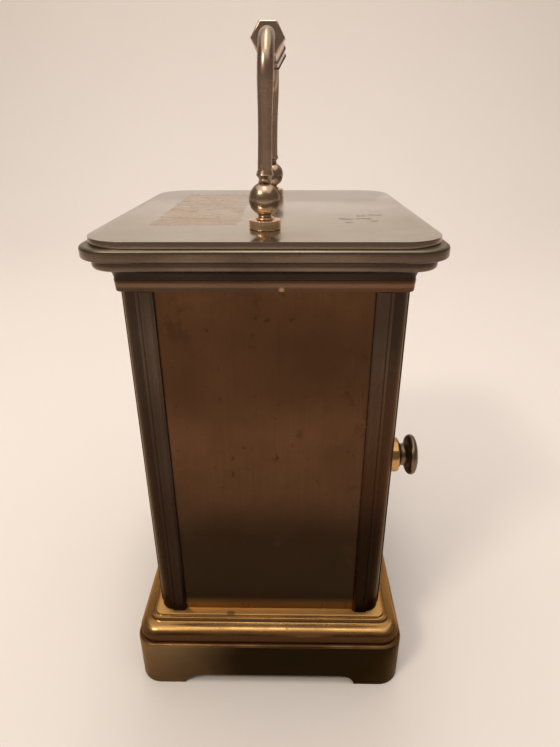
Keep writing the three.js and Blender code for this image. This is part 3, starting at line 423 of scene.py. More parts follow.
def panel_brass():
    """Side panels and rear door: brown lacquered brass brushed from top to bottom, with painted dark
    reflections that make it dark near its foot and in a band above the middle, and a painted golden
    reflection of the base along its foot.
    """
    light, dark = colour(0.124, 0.061, 0.029), colour(0.096, 0.047, 0.023)
    metal = Finish("brass_brushed", light, dark, (0.30, 0.38), spots=0.45)
    metal.grain((2600.0, 2600.0, 55.0), 0.3)
    g = metal.g
    height = g.along(Z)
    ragged = g.plus(height, g.times(g.noise(60.0, 3.0), 8.0))
    # Painted dark reflection: darker in the lower half, and a little more below the middle.
    low_dark_reflection = g.range(ragged, 46.5, 61.0, 1.0, 0.0, smooth=True)
    metal.layer(low_dark_reflection, colour(0.025, 0.0145, 0.006), 0.86)
    below_middle = g.range(height, 54.0, 70.0, 1.0, 0.0, smooth=True)
    metal.layer(below_middle, colour(0.030, 0.018, 0.010), 0.28)
    # Painted dark reflection in a band above the middle, stronger towards the rear.
    upper_dark_reflection = g.band(height, 84.0, 92.0, 12.0)
    front_to_rear = g.range(g.along(Y), -12.0, 4.0, 0.34, 0.58, smooth=True)
    metal.layer(g.times(upper_dark_reflection, front_to_rear), shaded(dark, 0.55))
    blotches = g.range(g.noise(130.0, 4.0, 0.65), 0.60, 0.70, smooth=True)
    metal.layer(blotches, shaded(dark, 0.6), 0.45, rougher=0.1)
    # Painted golden reflection of the base along the foot of the panel.
    golden_foot = g.range(height, 20.0, 24.0, 1.0, 0.0, smooth=True)
    metal.layer(golden_foot, colour(0.42, 0.24, 0.095), 0.75, rougher=-0.05)
    return metal.done()


def column_brass():
    """Columns: dark drawn bronze with painted shade on their round corners, a painted dark reflection that
    makes them darker downwards and deeper at the foot of the rear ones, and a warm band on the rear ones.
    """
    light, dark = colour(0.118, 0.084, 0.064), colour(0.066, 0.043, 0.031)
    metal = Finish("brass_column", light, dark, (0.23, 0.33), cloud=30.0, spots=0.25)
    metal.grain((900.0, 900.0, 8.0), 0.5, 0.01)
    g = metal.g
    y, height = g.along(Y), g.along(Z)
    # Painted shade over the round corner and the outer face across y of each column.
    bead_inner = FACE_Y - COLUMN + BEAD - 0.1
    corner_shade = g.range(g.maths("ABSOLUTE", y), bead_inner, bead_inner + 0.2)
    metal.layer(corner_shade, shaded(dark, 0.4), 0.65)
    # Painted dark reflection, darker downwards.
    downwards = g.range(height, 45.0, 102.0, 1.0, 0.0, smooth=True)
    metal.layer(downwards, colour(0.020, 0.009, 0.004), 0.8)
    rear = g.range(y, 5.0, 20.0)
    # Painted dark reflection, deeper at the foot of the rear columns.
    rear_foot_dark_reflection = g.times(rear, g.range(height, 35.0, 75.0, 1.0, 0.0, smooth=True))
    metal.layer(rear_foot_dark_reflection, colour(0.012, 0.006, 0.003), 0.85)
    rear_middle = g.times(rear, g.band(height, 62.0, 78.0, 18.0))
    metal.layer(rear_middle, colour(0.085, 0.034, 0.013), 0.45)
    return metal.done(Specular_Tint=colour(0.85, 0.72, 0.60))


def cornice_brass():
    """Cornice: olive-brown brass with painted shade that makes its cove nearly black and darkens it under
    the top step, a painted highlight along the lower band, and one small pale spot on that band.
    """
    light, dark = colour(0.205, 0.148, 0.106), colour(0.122, 0.083, 0.060)
    metal = Finish("brass_cornice", light, dark, (0.20, 0.30), spots=0.3)
    metal.grain((60.0, 60.0, 1800.0), 0.35, 0.008)
    g = metal.g
    height = g.along(Z)
    # Painted shade that makes the cove nearly black.
    cove = g.band(height, COVE_BOTTOM + 0.05, COVE_TOP - 0.05, 0.25)
    metal.layer(cove, colour(0.022, 0.015, 0.011), 0.9, rougher=0.1)
    # Painted shade under the top step.
    shade_under_top_step = g.band(height, 110.5, 111.4, 0.5)
    metal.layer(shade_under_top_step, shaded(dark, 0.4), 0.75)
    top_face = g.range(height, CORNICE_TOP - 0.7, CORNICE_TOP - 0.3)
    metal.layer(top_face, colour(0.170, 0.142, 0.095), rougher=0.12)
    lower = g.range(height, COVE_BOTTOM - 0.15, COVE_BOTTOM + 0.05, 1.0, 0.0)
    metal.layer(lower, colour(0.060, 0.035, 0.021), 0.85)
    lower_rear = g.times(lower, g.range(g.along(Y), -8.0, 18.0, smooth=True))
    metal.layer(lower_rear, colour(0.120, 0.052, 0.028), 0.55)
    # Painted highlight along the lower band.
    gleam = g.band(height, CORNICE_BOTTOM + 1.1, CORNICE_BOTTOM + 1.4, 0.5)
    metal.layer(gleam, colour(0.25, 0.155, 0.085), 0.5)
    # One small pale spot on the lower band.
    pale_spot = g.spot((FACE_X + 0.2, 3.3, 105.1), 0.1, 0.7)
    metal.layer(pale_spot, colour(0.45, 0.29, 0.17), 0.7)
    return metal.done()


def base_brass():
    """Base: polished golden moulding over a darker satin plinth, with a painted dark reflection making the
    plinth darkest at the rear, a painted highlight at its front, and painted shade in the groove, under the
    round and in the small cove.
    """
    light, dark = colour(0.53, 0.295, 0.098), colour(0.32, 0.165, 0.058)
    metal = Finish("brass_base", light, dark, (0.20, 0.32))
    metal.grain((70.0, 70.0, 1500.0), 0.25, 0.006)
    g = metal.g
    y, height = g.along(Y), g.along(Z)
    plinth = g.range(height, PLINTH_TOP - 0.15, PLINTH_TOP + 0.15, 1.0, 0.0)
    metal.layer(plinth, colour(0.095, 0.060, 0.033), 0.92, rougher=0.12)
    # Painted dark reflection on the plinth, deepest at the rear.
    ragged = g.plus(y, g.range(g.noise(40.0, 3.0), 0.3, 0.7, -8.0, 8.0))
    rear = g.range(ragged, -26.0, 0.0, smooth=True)
    metal.layer(g.times(plinth, rear), colour(0.013, 0.008, 0.004), 0.97)
    # Painted shade in the groove under the round.
    groove_shade = g.band(height, 13.88, 14.1, 0.15)
    metal.layer(groove_shade, colour(0.10, 0.05, 0.024), 0.5, rougher=0.2)
    # Painted highlight on the front of the plinth, strongest near its top.
    front = g.range(y, -30.0, -6.0, 1.0, 0.0, smooth=True)
    painted_highlight = g.times(front, g.range(height, 2.0, 13.0, 0.1, 0.6))
    metal.layer(g.times(plinth, painted_highlight), colour(0.25, 0.158, 0.078))
    # Painted shade on the underside of the round.
    uneven = g.plus(height, g.range(g.noise(55.0, 3.0), 0.3, 0.7, -0.4, 0.4))
    shade_under_round = g.band(uneven, 14.1, 16.6, 0.9)
    metal.layer(shade_under_round, colour(0.066, 0.030, 0.013), 0.95, rougher=0.05)
    # Painted shade in the small cove.
    small_cove_shade = g.band(height, 18.1, 19.15, 0.2)
    metal.layer(small_cove_shade, shaded(dark, 0.5), 0.5)
    top_face = g.range(height, BASE_TOP - 0.1, BASE_TOP - 0.01)
    metal.layer(top_face, light, rougher=0.12)
    # Two small tarnish spots on the top face.
    for spot_y in (-10.3, -9.4):
        darkening = g.spot((FACE_X + 0.5, spot_y, BASE_TOP), 0.2, 0.8)
        metal.layer(darkening, colour(0.07, 0.035, 0.016), 0.7, rougher=0.2)
    return metal.done(Specular_Tint=colour(0.82, 0.67, 0.53))


def plate_brass():
    """Top plate: pale semi-mirror brass with the rest of a stuck label and a few dark worn marks."""
    light, dark = colour(0.56, 0.53, 0.47), colour(0.47, 0.425, 0.36)
    metal = Finish("brass_plate", light, dark, (0.13, 0.21), cloud=38.0, spots=0.15)
    g = metal.g
    y = g.along(Y)
    ragged = g.range(g.noise(300.0, 4.0, 0.6), 0.0, 1.0, -1.4, 1.4)
    wavy_x = g.plus(g.along(X), ragged)
    wavy_y = g.plus(y, ragged)
    label = g.times(g.band(wavy_x, -27.0, 22.0, 0.6), g.band(wavy_y, -23.3, -6.0, 0.6))
    strings = g.noise(75.0, 5.0, 0.65, g.stretched((2.2, 0.7, 1.0)), 1.6)
    strings = g.range(strings, 0.47, 0.58, smooth=True)
    rim = g.maths("SUBTRACT", 1.0, g.band(wavy_x, -24.0, 20.6, 1.0))
    film = g.maths("MAXIMUM", g.range(g.noise(160.0, 3.0), 0.4, 0.6, 0.3, 0.65), g.times(rim, 0.9))
    residue = g.times(label, g.maths("MAXIMUM", strings, film))
    metal.layer(residue, colour(0.46, 0.32, 0.20), 0.9, rougher=0.2)
    metal.normal = g.bump(residue, 0.03, 0.6, metal.normal)
    worn = g.range(g.noise(420.0, 3.0, 0.6), 0.35, 0.55, 0.25, 0.9)
    for mark_x, mark_y, half_x, half_y in (
        (14.6, 17.0, 0.5, 1.3), (14.2, 20.6, 0.4, 1.3), (10.4, 20.4, 0.5, 0.5),
        (9.6, 23.7, 0.3, 1.2), (18.6, 17.2, 0.2, 0.6), (17.2, 22.5, 0.2, 0.4),
    ):
        across = g.band(wavy_x, mark_x - half_x, mark_x + half_x, 0.9)
        lengthwise = g.band(y, mark_y - half_y, mark_y + half_y, 0.8)
        mark = g.times(across, lengthwise)
        metal.layer(g.times(mark, worn), colour(0.15, 0.115, 0.085), rougher=0.3)
    edge = g.range(g.along(Z), PLATE_TOP - 0.10, PLATE_TOP - 0.04, 1.0, 0.0)
    metal.layer(edge, colour(0.38, 0.275, 0.21), rougher=0.05)
    return metal.done()


def handle_brass():
    """Handle and posts: brown polished brass, golden at the foot, with painted shade over the bends and
    painted dark reflections on the grip's rings.
    """
    light, dark = colour(0.56, 0.41, 0.30), colour(0.40, 0.27, 0.19)
    metal = Finish("brass_handle", light, dark, (0.20, 0.30), cloud=120.0)
    g = metal.g
    height = g.along(Z)
    golden_foot = g.range(height, 117.2, 117.6, 1.0, 0.0)
    metal.layer(golden_foot, colour(0.92, 0.63, 0.38), 0.95)
    ball = g.band(height, PIVOT_Z - 2.8, PIVOT_Z + 3.0, 0.3)
    metal.layer(ball, colour(0.36, 0.25, 0.16), 0.7)
    from_middle = g.maths("ABSOLUTE", g.along(X))
    # Painted shade over the tops of the arms' bends.
    above = g.range(height, 141.0, 146.0, smooth=True)
    bends = g.times(above, g.range(from_middle, GRIP_HALF + 0.05, GRIP_HALF + 0.2))
    metal.layer(bends, colour(0.24, 0.18, 0.12), 0.75, rougher=0.06)
    # Painted dark reflection on the grip's middle ring and on the walls of its end rings.
    darkening = colour(0.03, 0.02, 0.013)
    middle_walls = MIDDLE_RING + RING_SLOPE + SEAT
    metal.layer(g.band(from_middle, -1.0, middle_walls, 0.05), darkening, 0.8, rougher=0.2)
    end_walls = g.band(from_middle, END_RING - RING_SLOPE - SEAT, END_RING + 0.02, 0.05)
    metal.layer(end_walls, darkening, 0.95, rougher=0.2)
    return metal.grain((500.0, 500.0, 30.0), 0.3, 0.004).done()


def plain(name, base, roughness, metallic=0.0, mottle=0.12, bump=0.01, scale=500.0, **extra):
    """A simple finish with a fine mottle in its colour, gloss and surface."""
    g = Graph(name)
    texture = g.noise(scale, 3.0, 0.55)
    shade_low = colour(*(c * (1 - mottle) for c in base[:3]))
    shade_high = colour(*(min(1.0, c * (1 + mottle)) for c in base[:3]))
    rough = g.range(texture, 0.3, 0.7, roughness * 0.85, min(1.0, roughness * 1.15))
    g.set(
        Base_Color=g.mix(texture, shade_low, shade_high),
        Metallic=metallic,
        Roughness=rough,
        Normal=g.bump(texture, bump, 0.4),
        **extra,
    )
    return g.material


# ------------------------------------------------------------ materials

polished = Finish("brass_polished", colour(0.60, 0.355, 0.15), colour(0.38, 0.20, 0.072), (0.13, 0.24))
polished = polished.done()
aged = Finish("brass_aged", colour(0.30, 0.21, 0.13), colour(0.17, 0.11, 0.07), (0.2, 0.34)).done()
knob_brass = Finish("brass_knob", colour(0.24, 0.18, 0.12), colour(0.14, 0.10, 0.065), (0.28, 0.4)).done()
gilt = Finish("brass_gilt", colour(0.72, 0.50, 0.23), colour(0.55, 0.36, 0.15), (0.26, 0.36))
gilt = gilt.grain((1500.0, 1500.0, 60.0), 0.2, 0.006).done()
steel = Finish("steel", colour(0.55, 0.55, 0.53), colour(0.40, 0.40, 0.39), (0.25, 0.36)).done()
grip_brass = handle_brass()
brushed = panel_brass()
columns = column_brass()
cornice_finish = cornice_brass()
base_finish = base_brass()
plate = plate_brass()
black_steel = plain("black_steel", (0.012, 0.013, 0.018), 0.25, 0.3)
enamel = plain("enamel", (0.86, 0.83, 0.74), 0.28, mottle=0.03, bump=0.004, scale=260.0)
black_plastic = plain("black_plastic", (0.022, 0.023, 0.025), 0.5, bump=0.03, scale=1500.0)
white_plastic = plain("white_plastic", (0.82, 0.80, 0.72), 0.42, mottle=0.04)
rubber = plain("rubber", (0.02, 0.02, 0.02), 0.85, bump=0.03)
copper = plain("copper", (0.62, 0.23, 0.10), 0.3, 1.0)
board = plain("board", (0.03, 0.16, 0.07), 0.4)
cell = plain("cell", (0.06, 0.09, 0.13), 0.3, 0.4)
clear = plain("glass", (0.94, 0.97, 0.96), 0.03, mottle=0.01, bump=0.001, Transmission_Weight=1.0, IOR=1.5)

by_slot = {
    "brass_polished": polished,
    "brass_aged": aged,
    "brass_plate": gilt,
    "brass_brushed": brushed,
    "steel": steel,
    "black_steel": black_steel,
    "glass": clear,
    "enamel": enamel,
    "black_plastic": black_plastic,
    "white_plastic": white_plastic,
    "rubber": rubber,
    "copper": copper,
    "board": board,
    "cell": cell,
}
for entry in frame["record"]["subparts"]:
    node = nodes[entry["node"]]
    node.data.materials.clear()
    node.data.materials.append(by_slot[entry["material_slot"]])
    shade(node, 30)

# ------------------------------------------------------------ base

base_profile = [
    (5.50, 0.0), (5.64, 0.06), (PLINTH_OVERHANG, 0.2),
    (PLINTH_OVERHANG, 12.6),
    *smooth_run([(5.69, 13.0), (5.60, 13.45), (5.40, 13.78), (5.10, 13.92)]),
    (4.80, 13.96),
    *smooth_run([
        (4.76, 14.02), (4.84, 14.3), (4.97, 15.1), (4.93, 15.9), (4.70, 16.7),
        (4.20, 17.4), (3.55, 17.88), (2.90, 18.08), (2.62, 18.13),
    ]),
    *smooth_run([(2.55, 18.16), (2.15, 18.27), (1.85, 18.55), (1.68, 18.85), (1.56, 19.1)]),
    (1.50, 19.14), (1.00, 19.17), (0.94, 19.22), (0.90, 19.65), (0.86, 19.76), (0.76, BASE_TOP),
]
base = mesh_object("base_moulding", moulding(base_profile, lambda overhang: 1.2 + 0.75 * overhang))


FOOT = 12.0
GAP_HEIGHT = 3.1
GAP_CURVE = 3.8
BASE_WALL = 5.5
BASE_HOLLOW_TOP = 15.6


def foot_gap(half):
    """Outline of the gap between two feet, on a side of the base with this half-length."""
    end = half - FOOT
    right = arc((end - GAP_CURVE, 0), GAP_CURVE, GAP_HEIGHT, 0, 90, 14)
    outline = [(end, -1), *right]
    return outline + [(-x, z) for x, z in reversed(outline)]


plinth_x = FACE_X + PLINTH_OVERHANG
plinth_y = FACE_Y + PLINTH_OVERHANG
hollow_x = plinth_x - BASE_WALL
hollow_y = plinth_y - BASE_WALL
quarter_turn = Matrix.Rotation(math.pi / 2, 4, "Z")
cut(base, [
    box((-hollow_x, -hollow_y, -1), (hollow_x, hollow_y, BASE_HOLLOW_TOP)),
    slab(foot_gap(plinth_x), -plinth_y - 2, plinth_y + 2),
    moved(slab(foot_gap(plinth_y), -plinth_x - 2, plinth_x + 2), quarter_turn),
])
piece(base, base_finish, "case", ["base"])

# ------------------------------------------------------------ cornice and top plate

cornice_profile = [
    (0.02, CORNICE_BOTTOM), (0.12, 104.72), (0.17, 104.85),
    (0.33, 106.90), (0.31, 107.0), (0.26, 107.05),
    *arc((2.4, COVE_BOTTOM), 2.14, COVE_TOP - COVE_BOTTOM, 180, 90, 14),
    *smooth_run([(2.5, COVE_TOP), (3.2, 109.3), (3.6, 109.45), (3.85, 109.8), (3.9, 110.3)]),
    (3.90, 111.27), (3.95, 111.33),
    *smooth_run([(5.15, 111.35), (5.45, 111.42), (5.68, 111.6), (5.75, 111.85)]),
    (5.75, 113.05),
    *smooth_run([(5.74, 113.18), (5.66, 113.4), (5.48, 113.57), (5.25, 113.66), (5.0, 113.69)]),
    (4.8, CORNICE_TOP),
]
cornice = mesh_object("cornice_moulding", moulding(cornice_profile, lambda overhang: overhang + 1.45))
BELOW_CORNICE = 100
# Half-length in x, half-length in y and top of the open well and of the hollows between the columns.
hollows = [
    (20, 17, 120),
    (FACE_X - 2.8, FACE_Y - COLUMN - 0.2, 110.2),
    (FACE_X - COLUMN - 0.2, FACE_Y - 2.9, 110.2),
]
cut(cornice, [box((-x, -y, BELOW_CORNICE), (x, y, z)) for x, y, z in hollows])
piece(cornice, cornice_finish, "case", ["cornice"])

plate_profile = [
    (PLATE_OVERHANG - 0.03, CORNICE_TOP + SEAT), (PLATE_OVERHANG, CORNICE_TOP + 0.1),
    (PLATE_OVERHANG, PLATE_TOP - 0.07), (PLATE_OVERHANG - 0.03, PLATE_TOP - 0.015),
    (PLATE_OVERHANG - 0.09, PLATE_TOP),
]
top_sheet = mesh_object(
    "top_plate_sheet",
    moulding(plate_profile, lambda overhang: PLATE_CORNER_R + overhang - PLATE_OVERHANG, 20),
)
piece(top_sheet, plate, "case", ["top_plate"])

# ------------------------------------------------------------ columns

# Sections are given from the column's inner corner, for the one at +x and +y.
GROOVE_OUT = COLUMN - PANEL_SETBACK + SEAT
GROOVE_WIDTH = 1.6
GROOVE_DEPTH = 1.6
GROOVE_IN = GROOVE_OUT - GROOVE_WIDTH
CORNER_R = 3.2
LINE = COLUMN - 0.18    # bottom of the fine line cut along each outer face
side = [
    (GROOVE_IN, 0), (GROOVE_IN, GROOVE_DEPTH), (GROOVE_OUT, GROOVE_DEPTH), (GROOVE_OUT, 0),
    (6.45, 0), (COLUMN, 0.6), (COLUMN, 2.6), (LINE, 2.75), (COLUMN, 2.9),
    (COLUMN, BEAD), (BEAD + CORNER_R, BEAD),
    *arc((BEAD, BEAD), CORNER_R, CORNER_R, 0, 90, 18)[1:],
    (BEAD, COLUMN), (2.9, COLUMN), (2.75, LINE), (2.6, COLUMN), (0.5, COLUMN), (0, 6.5),
]
front_section = [(0, 0), *side, (0, 6.2), (1.5, 6.2), (1.5, 3.6), (0, 3.6)]
rear_section = [(-1.5, 0), *side, (0, 4.4), (-1.5, 4.4)]
column_low = BASE_TOP + SEAT
column_high = CORNICE_BOTTOM - SEAT
for name, sign_x, sign_y in (
    ("front_left", -1, -1), ("front_right", 1, -1), ("rear_left", -1, 1), ("rear_right", 1, 1),
):
    section = front_section if sign_y < 0 else rear_section
    outline = [(sign_x * (FACE_X - COLUMN + u), sign_y * (FACE_Y - COLUMN + v)) for u, v in section]
    if sign_x * sign_y < 0:
        outline.reverse()
    column = mesh_object(f"column_{name}_bar", prism(outline, column_low, column_high))
    bevel(column, 0.1)
    piece(column, columns, "case", [f"column_{name}"])

# ------------------------------------------------------------ handle

post_profile = [
    (1.5, 106.4), (1.5, PLATE_TOP + SEAT), (2.9, PLATE_TOP + SEAT), (3.05, 115.1), (3.1, 115.2),
    (3.1, 116.60), (3.06, 116.74), (2.94, 116.84), (2.80, 116.88), (1.85, 116.93),
    *smooth_run([
        (1.76, 116.96), (1.80, 117.06), (1.70, 117.2), (1.45, 117.35), (1.33, 117.55), (1.32, 117.75),
    ]),
    *arc((0, PIVOT_Z), BALL_R, BALL_R, -64.0, 89, 28),
]
slot_in_ball = box((-0.9, -5, PIVOT_Z - 1.5), (0.9, 5, PIVOT_Z + 5))
for name, sign in SIDES:
    shift = Matrix.Translation((sign * POST_X, 0, 0))
    post = mesh_object(f"handle_post_{name}_turned", lathe(post_profile), shift)
    cut(post, [moved(slot_in_ball, shift)])
    bevel(post, 0.08)
    piece(post, grip_brass, "case", [f"handle_post_{name}"])

bail = Matrix.Translation((0, 0, PIVOT_Z)) @ Matrix.Rotation(-BAIL_LEAN, 4, "X")


def ring(centre, across, deep, radius, facets=0.0, count=48):
    """A round section, or with facets = 1 an eight-sided one of the same width."""
    eighth = math.pi / 4
    points = []
    for i in range(count):
        angle = 2 * math.pi * i / count
        off_flat = (angle + eighth / 2) % eighth - eighth / 2
        reach = radius * (1 + facets * (1 / math.cos(off_flat) - 1))
        points.append(tuple(
            centre + across * (reach * math.cos(angle)) + deep * (reach * math.sin(angle))
        ))
    return points


BEND_R = 7.5
BEND_STEPS = 24
BAR_R = 1.5
TONGUE_R = 1.15
TONGUE_HALF = 0.65
PEG_R = 0.9
PEG_LENGTH = 2.6


def arm_shape():
    """The right arm, upright on its pivot: ring, double cone, faceted rod, bend and the peg in the grip."""
    x_axis, y_axis, z_axis = Vector((1, 0, 0)), Vector((0, 1, 0)), Vector((0, 0, 1))
    loops = []
    lower_ring = [(3.22, 1.05), (3.26, 1.13), (3.42, 1.15), (3.50, 1.08)]
    double_cone = smooth_run([(3.56, 1.08), (4.2, 1.60), (4.3, 1.66), (4.4, 1.62), (5.1, 1.38), (5.2, 1.37)])
    for z, radius in [*lower_ring, *double_cone]:
        loops.append(ring(Vector((0, 0, z)), x_axis, y_axis, radius))
    start = BAIL_RADIUS - BEND_R
    rod = smooth_run([(5.3, 1.36), (7.5, 1.30), (11.5, 1.28), (15.0, 1.32), (18.0, 1.42), (start, BAR_R)], 5)
    for z, radius in rod:
        facets = 0.6 * min(1.0, (z - 5.3) / 0.8, (start - z) / 3.0)
        loops.append(ring(Vector((0, 0, z)), x_axis, y_axis, radius, facets))
    for i in range(1, BEND_STEPS + 1):
        angle = math.pi / 2 * i / BEND_STEPS
        across = Vector((math.cos(angle), 0, math.sin(angle)))
        centre = Vector((-BEND_R, 0, start)) + across * BEND_R
        loops.append(ring(centre, across, y_axis, BAR_R))
    end = GRIP_HALF + SEAT - POST_X
    for x, radius in ((end, BAR_R - 0.05), (end, PEG_R), (end - PEG_LENGTH, PEG_R)):
        loops.append(ring(Vector((x, 0, BAIL_RADIUS)), z_axis, y_axis, radius))
    return loft(loops)


def tongue_shape():
    """The flat tongue at the foot of an arm, round about the pivot."""
    outline = [(TONGUE_R, 3.2), (-TONGUE_R, 3.2), *arc((0, 0), TONGUE_R, TONGUE_R, 180, 360, 16)]
    return moved(slab(outline, -TONGUE_HALF, TONGUE_HALF), quarter_turn)


for name, sign in SIDES:
    place = bail @ Matrix.Translation((sign * POST_X, 0, 0))
    if sign < 0:
        place = place @ Matrix.Rotation(math.pi, 4, "Z")
    arm = mesh_object(f"handle_arm_{name}_bar", arm_shape(), place, 40)
    combine(arm, "UNION", tongue_shape(), place)
    shade(arm, 40)
    piece(arm, grip_brass, "handle", [f"handle_arm_{name}"])


def hexagon(x, radius):
    """A six-sided section of the grip, corner to the rear."""
    return [
        (x, radius * math.cos(math.pi / 3 * i), radius * math.sin(math.pi / 3 * i))
        for i in range(6)
    ]


END_R = 0.45
BAR_CORNER_R = GRIP_CORNER_R - 0.32
PEG_HOLE_HALF = 1.1
PEG_HOLE_DEPTH = 3
half_grip = [
    (MIDDLE_RING, GRIP_CORNER_R), (MIDDLE_RING + RING_SLOPE, BAR_CORNER_R),
    (END_RING - RING_SLOPE, BAR_CORNER_R), (END_RING, GRIP_CORNER_R),
    *arc((GRIP_HALF - END_R, GRIP_CORNER_R - END_R), END_R, END_R, 90, 0, 6),
]
grip_stations = [(-x, radius) for x, radius in reversed(half_grip)] + half_grip
grip_place = bail @ Matrix.Translation((0, 0, BAIL_RADIUS))
grip = mesh_object(
    "handle_grip_bar",
    loft([hexagon(x, radius) for x, radius in grip_stations]),
    grip_place,
)
peg_holes = [
    box(
        (end - PEG_HOLE_DEPTH, -PEG_HOLE_HALF, -PEG_HOLE_HALF),
        (end + PEG_HOLE_DEPTH, PEG_HOLE_HALF, PEG_HOLE_HALF),
    )
    for end in (-GRIP_HALF, GRIP_HALF)
]
cut(grip, [moved(peg_hole, grip_place) for peg_hole in peg_holes])
bevel(grip, 0.12, 3, 45)
piece(grip, grip_brass, "handle", ["handle_grip"])

# ------------------------------------------------------------ door knob

to_rear = Matrix.Translation((KNOB_X, 0, KNOB_Z)) @ Matrix.Rotation(-math.pi / 2, 4, "X")
COLLAR_END = 31.2
collar_profile = [
    (1.3, DOOR_FACE_Y + SEAT), (4.15, DOOR_FACE_Y + SEAT), (4.25, DOOR_FACE_Y + 0.15),
    (4.25, DOOR_FACE_Y + 0.6), (4.1, DOOR_FACE_Y + 0.75), (4.02, DOOR_FACE_Y + 0.9),
    *smooth_run([
        (4.05, 28.9), (4.2, 29.2), (4.22, 29.9), (4.2, 30.7), (4.05, 31.05), (3.85, COLLAR_END),
    ]),
    (1.3, COLLAR_END),
]
collar = mesh_object("knob_collar_turned", lathe(collar_profile), to_rear)
piece(collar, polished, "door", ["knob_collar"])

knob_profile = [
    (1.25, COLLAR_END + SEAT), (3.05, COLLAR_END + SEAT),
    *smooth_run([(3.0, 31.34), (2.8, 31.6), (2.68, 31.95), (2.66, 32.35), (2.76, 32.7), (3.0, 32.95)]),
    *smooth_run([(3.2, 33.02), (4.1, 33.26), (4.6, 33.6), (4.84, 34.0), (4.87, 34.4), (4.72, 34.85)]),
    *smooth_run([(4.55, 35.02), (3.5, 35.46), (1.8, 35.85), (0.6, 35.97)]),
    (0.05, 36.0),
]
knob = mesh_object("door_knob_turned", lathe(knob_profile), to_rear)
piece(knob, knob_brass, "door", ["door_knob"])

# These pieces are shown as the frame has them, with their edges rounded a little.
for name, width in (
    ("rear_door", 0.15), ("side_panel_left", 0.1), ("side_panel_right", 0.1),
    ("hour_hand", 0.05), ("minute_hand", 0.05), ("dial_mask", 0.1),
):
    bevel(nodes[name], width)

# ------------------------------------------------------------ dial markings

INK = 0.05              # thickness of the paint
NUMERAL_R = 18.2        # middle of the numerals
NUMERAL_HEIGHT = 4.2
TRACK = (21.7, 22.9)    # from and to, the minute bars
TRACK_RINGS = (21.6, 23.0)
HAIRLINE = 0.14
HOUR_BAR = 0.4


def ink_bar(points, width):
    """The outline of a straight stroke between two points of the dial's plane."""
    start, end = (Vector(p) for p in points)
    ahead = (end - start).normalized()
    aside = Vector((-ahead.y, ahead.x)) * width / 2
    return [(c.x, c.y) for c in (start + aside, start - aside, end - aside, end + aside)]


UNITS_PER_HEIGHT = 2.2
# Each letter's width, and its strokes as start, end and weight: x in units, z as a share of the height.
STROKES = {
    "I": (0.9, [((0.45, 0), (0.45, 1), 0.416)]),
    "V": (1.5, [((0.25, 1), (0.75, 0), 0.448), ((1.25, 1), (0.75, 0), 0.16)]),
    "X": (1.5, [((0.25, 1), (1.25, 0), 0.448), ((1.25, 1), (0.25, 0), 0.16)]),
}
NUMERALS = ["XII", "I", "II", "III", "IV", "V", "VI", "VII", "VIII", "IX", "X", "XI"]


def numeral_outlines(word, angle, radius, height):
    """Flat outlines of a numeral, set radially with its top outwards."""
    width = sum(STROKES[letter][0] for letter in word)
    unit = height / UNITS_PER_HEIGHT
    outlines = []
    cursor = -width / 2
    for letter in word:
        advance, strokes = STROKES[letter]
        for start, end, weight in strokes:
            points = [((cursor + x) * unit, (z - 0.5) * height) for x, z in (start, end)]
            outlines.append(ink_bar(points, weight * unit))
        cursor += advance
    for level in (0.5, -0.5):
        half = (width / 2 - 0.1) * unit
        outlines.append(ink_bar([(-half, level * height), (half, level * height)], 0.22))
    turn = Matrix.Rotation(-angle, 2)
    placed = []
    for outline in outlines:
        placed.append([turn @ Vector((x, z + radius)) for x, z in outline])
    return placed


def ink_ring(radius, count=96):
    """A closed thin ring on the dial, as vertices and faces."""
    verts = []
    for reach, y in (
        (radius, DIAL_FRONT), (radius, DIAL_FRONT - INK),
        (radius + HAIRLINE, DIAL_FRONT - INK), (radius + HAIRLINE, DIAL_FRONT),
    ):
        for i in range(count):
            angle = 2 * math.pi * i / count
            verts.append((reach * math.cos(angle), y, DIAL_Z + reach * math.sin(angle)))
    faces = []
    for level in range(4):
        start, above = level * count, (level + 1) % 4 * count
        for i in range(count):
            after = (i + 1) % count
            faces.append((start + i, above + i, above + after, start + after))
    return verts, faces


def add_dial_markings():
    """Numerals, the minute track and its two rings, as one piece of black paint."""
    outlines = []
    for hour, word in enumerate(NUMERALS):
        outlines += numeral_outlines(word, math.radians(30 * hour), NUMERAL_R, NUMERAL_HEIGHT)
    for minute in range(60):
        turn = Matrix.Rotation(-math.radians(6 * minute), 2)
        width = HOUR_BAR if minute % 5 == 0 else HAIRLINE
        outlines.append([turn @ Vector(p) for p in ink_bar([(0, r) for r in TRACK], width)])
    shapes = []
    for outline in outlines:
        shapes.append(slab([(x, z + DIAL_Z) for x, z in outline], DIAL_FRONT - INK, DIAL_FRONT))
    for radius in TRACK_RINGS:
        shapes.append(ink_ring(radius))
    verts, faces = [], []
    for shape_verts, shape_faces in shapes:
        faces += [tuple(i + len(verts) for i in face) for face in shape_faces]
        verts += shape_verts
    marks = mesh_object("dial_markings", (verts, faces))
    piece(marks, black_steel, "case")


add_dial_markings()

# ------------------------------------------------------------ floor, light and camera

floor_graph = Graph("floor")
floor_tone = floor_graph.noise(6.0, 3.0)
floor_graph.set(
    Base_Color=floor_graph.mix(floor_tone, colour(0.78, 0.71, 0.65), colour(0.81, 0.74, 0.68)),
    Roughness=0.9,
)
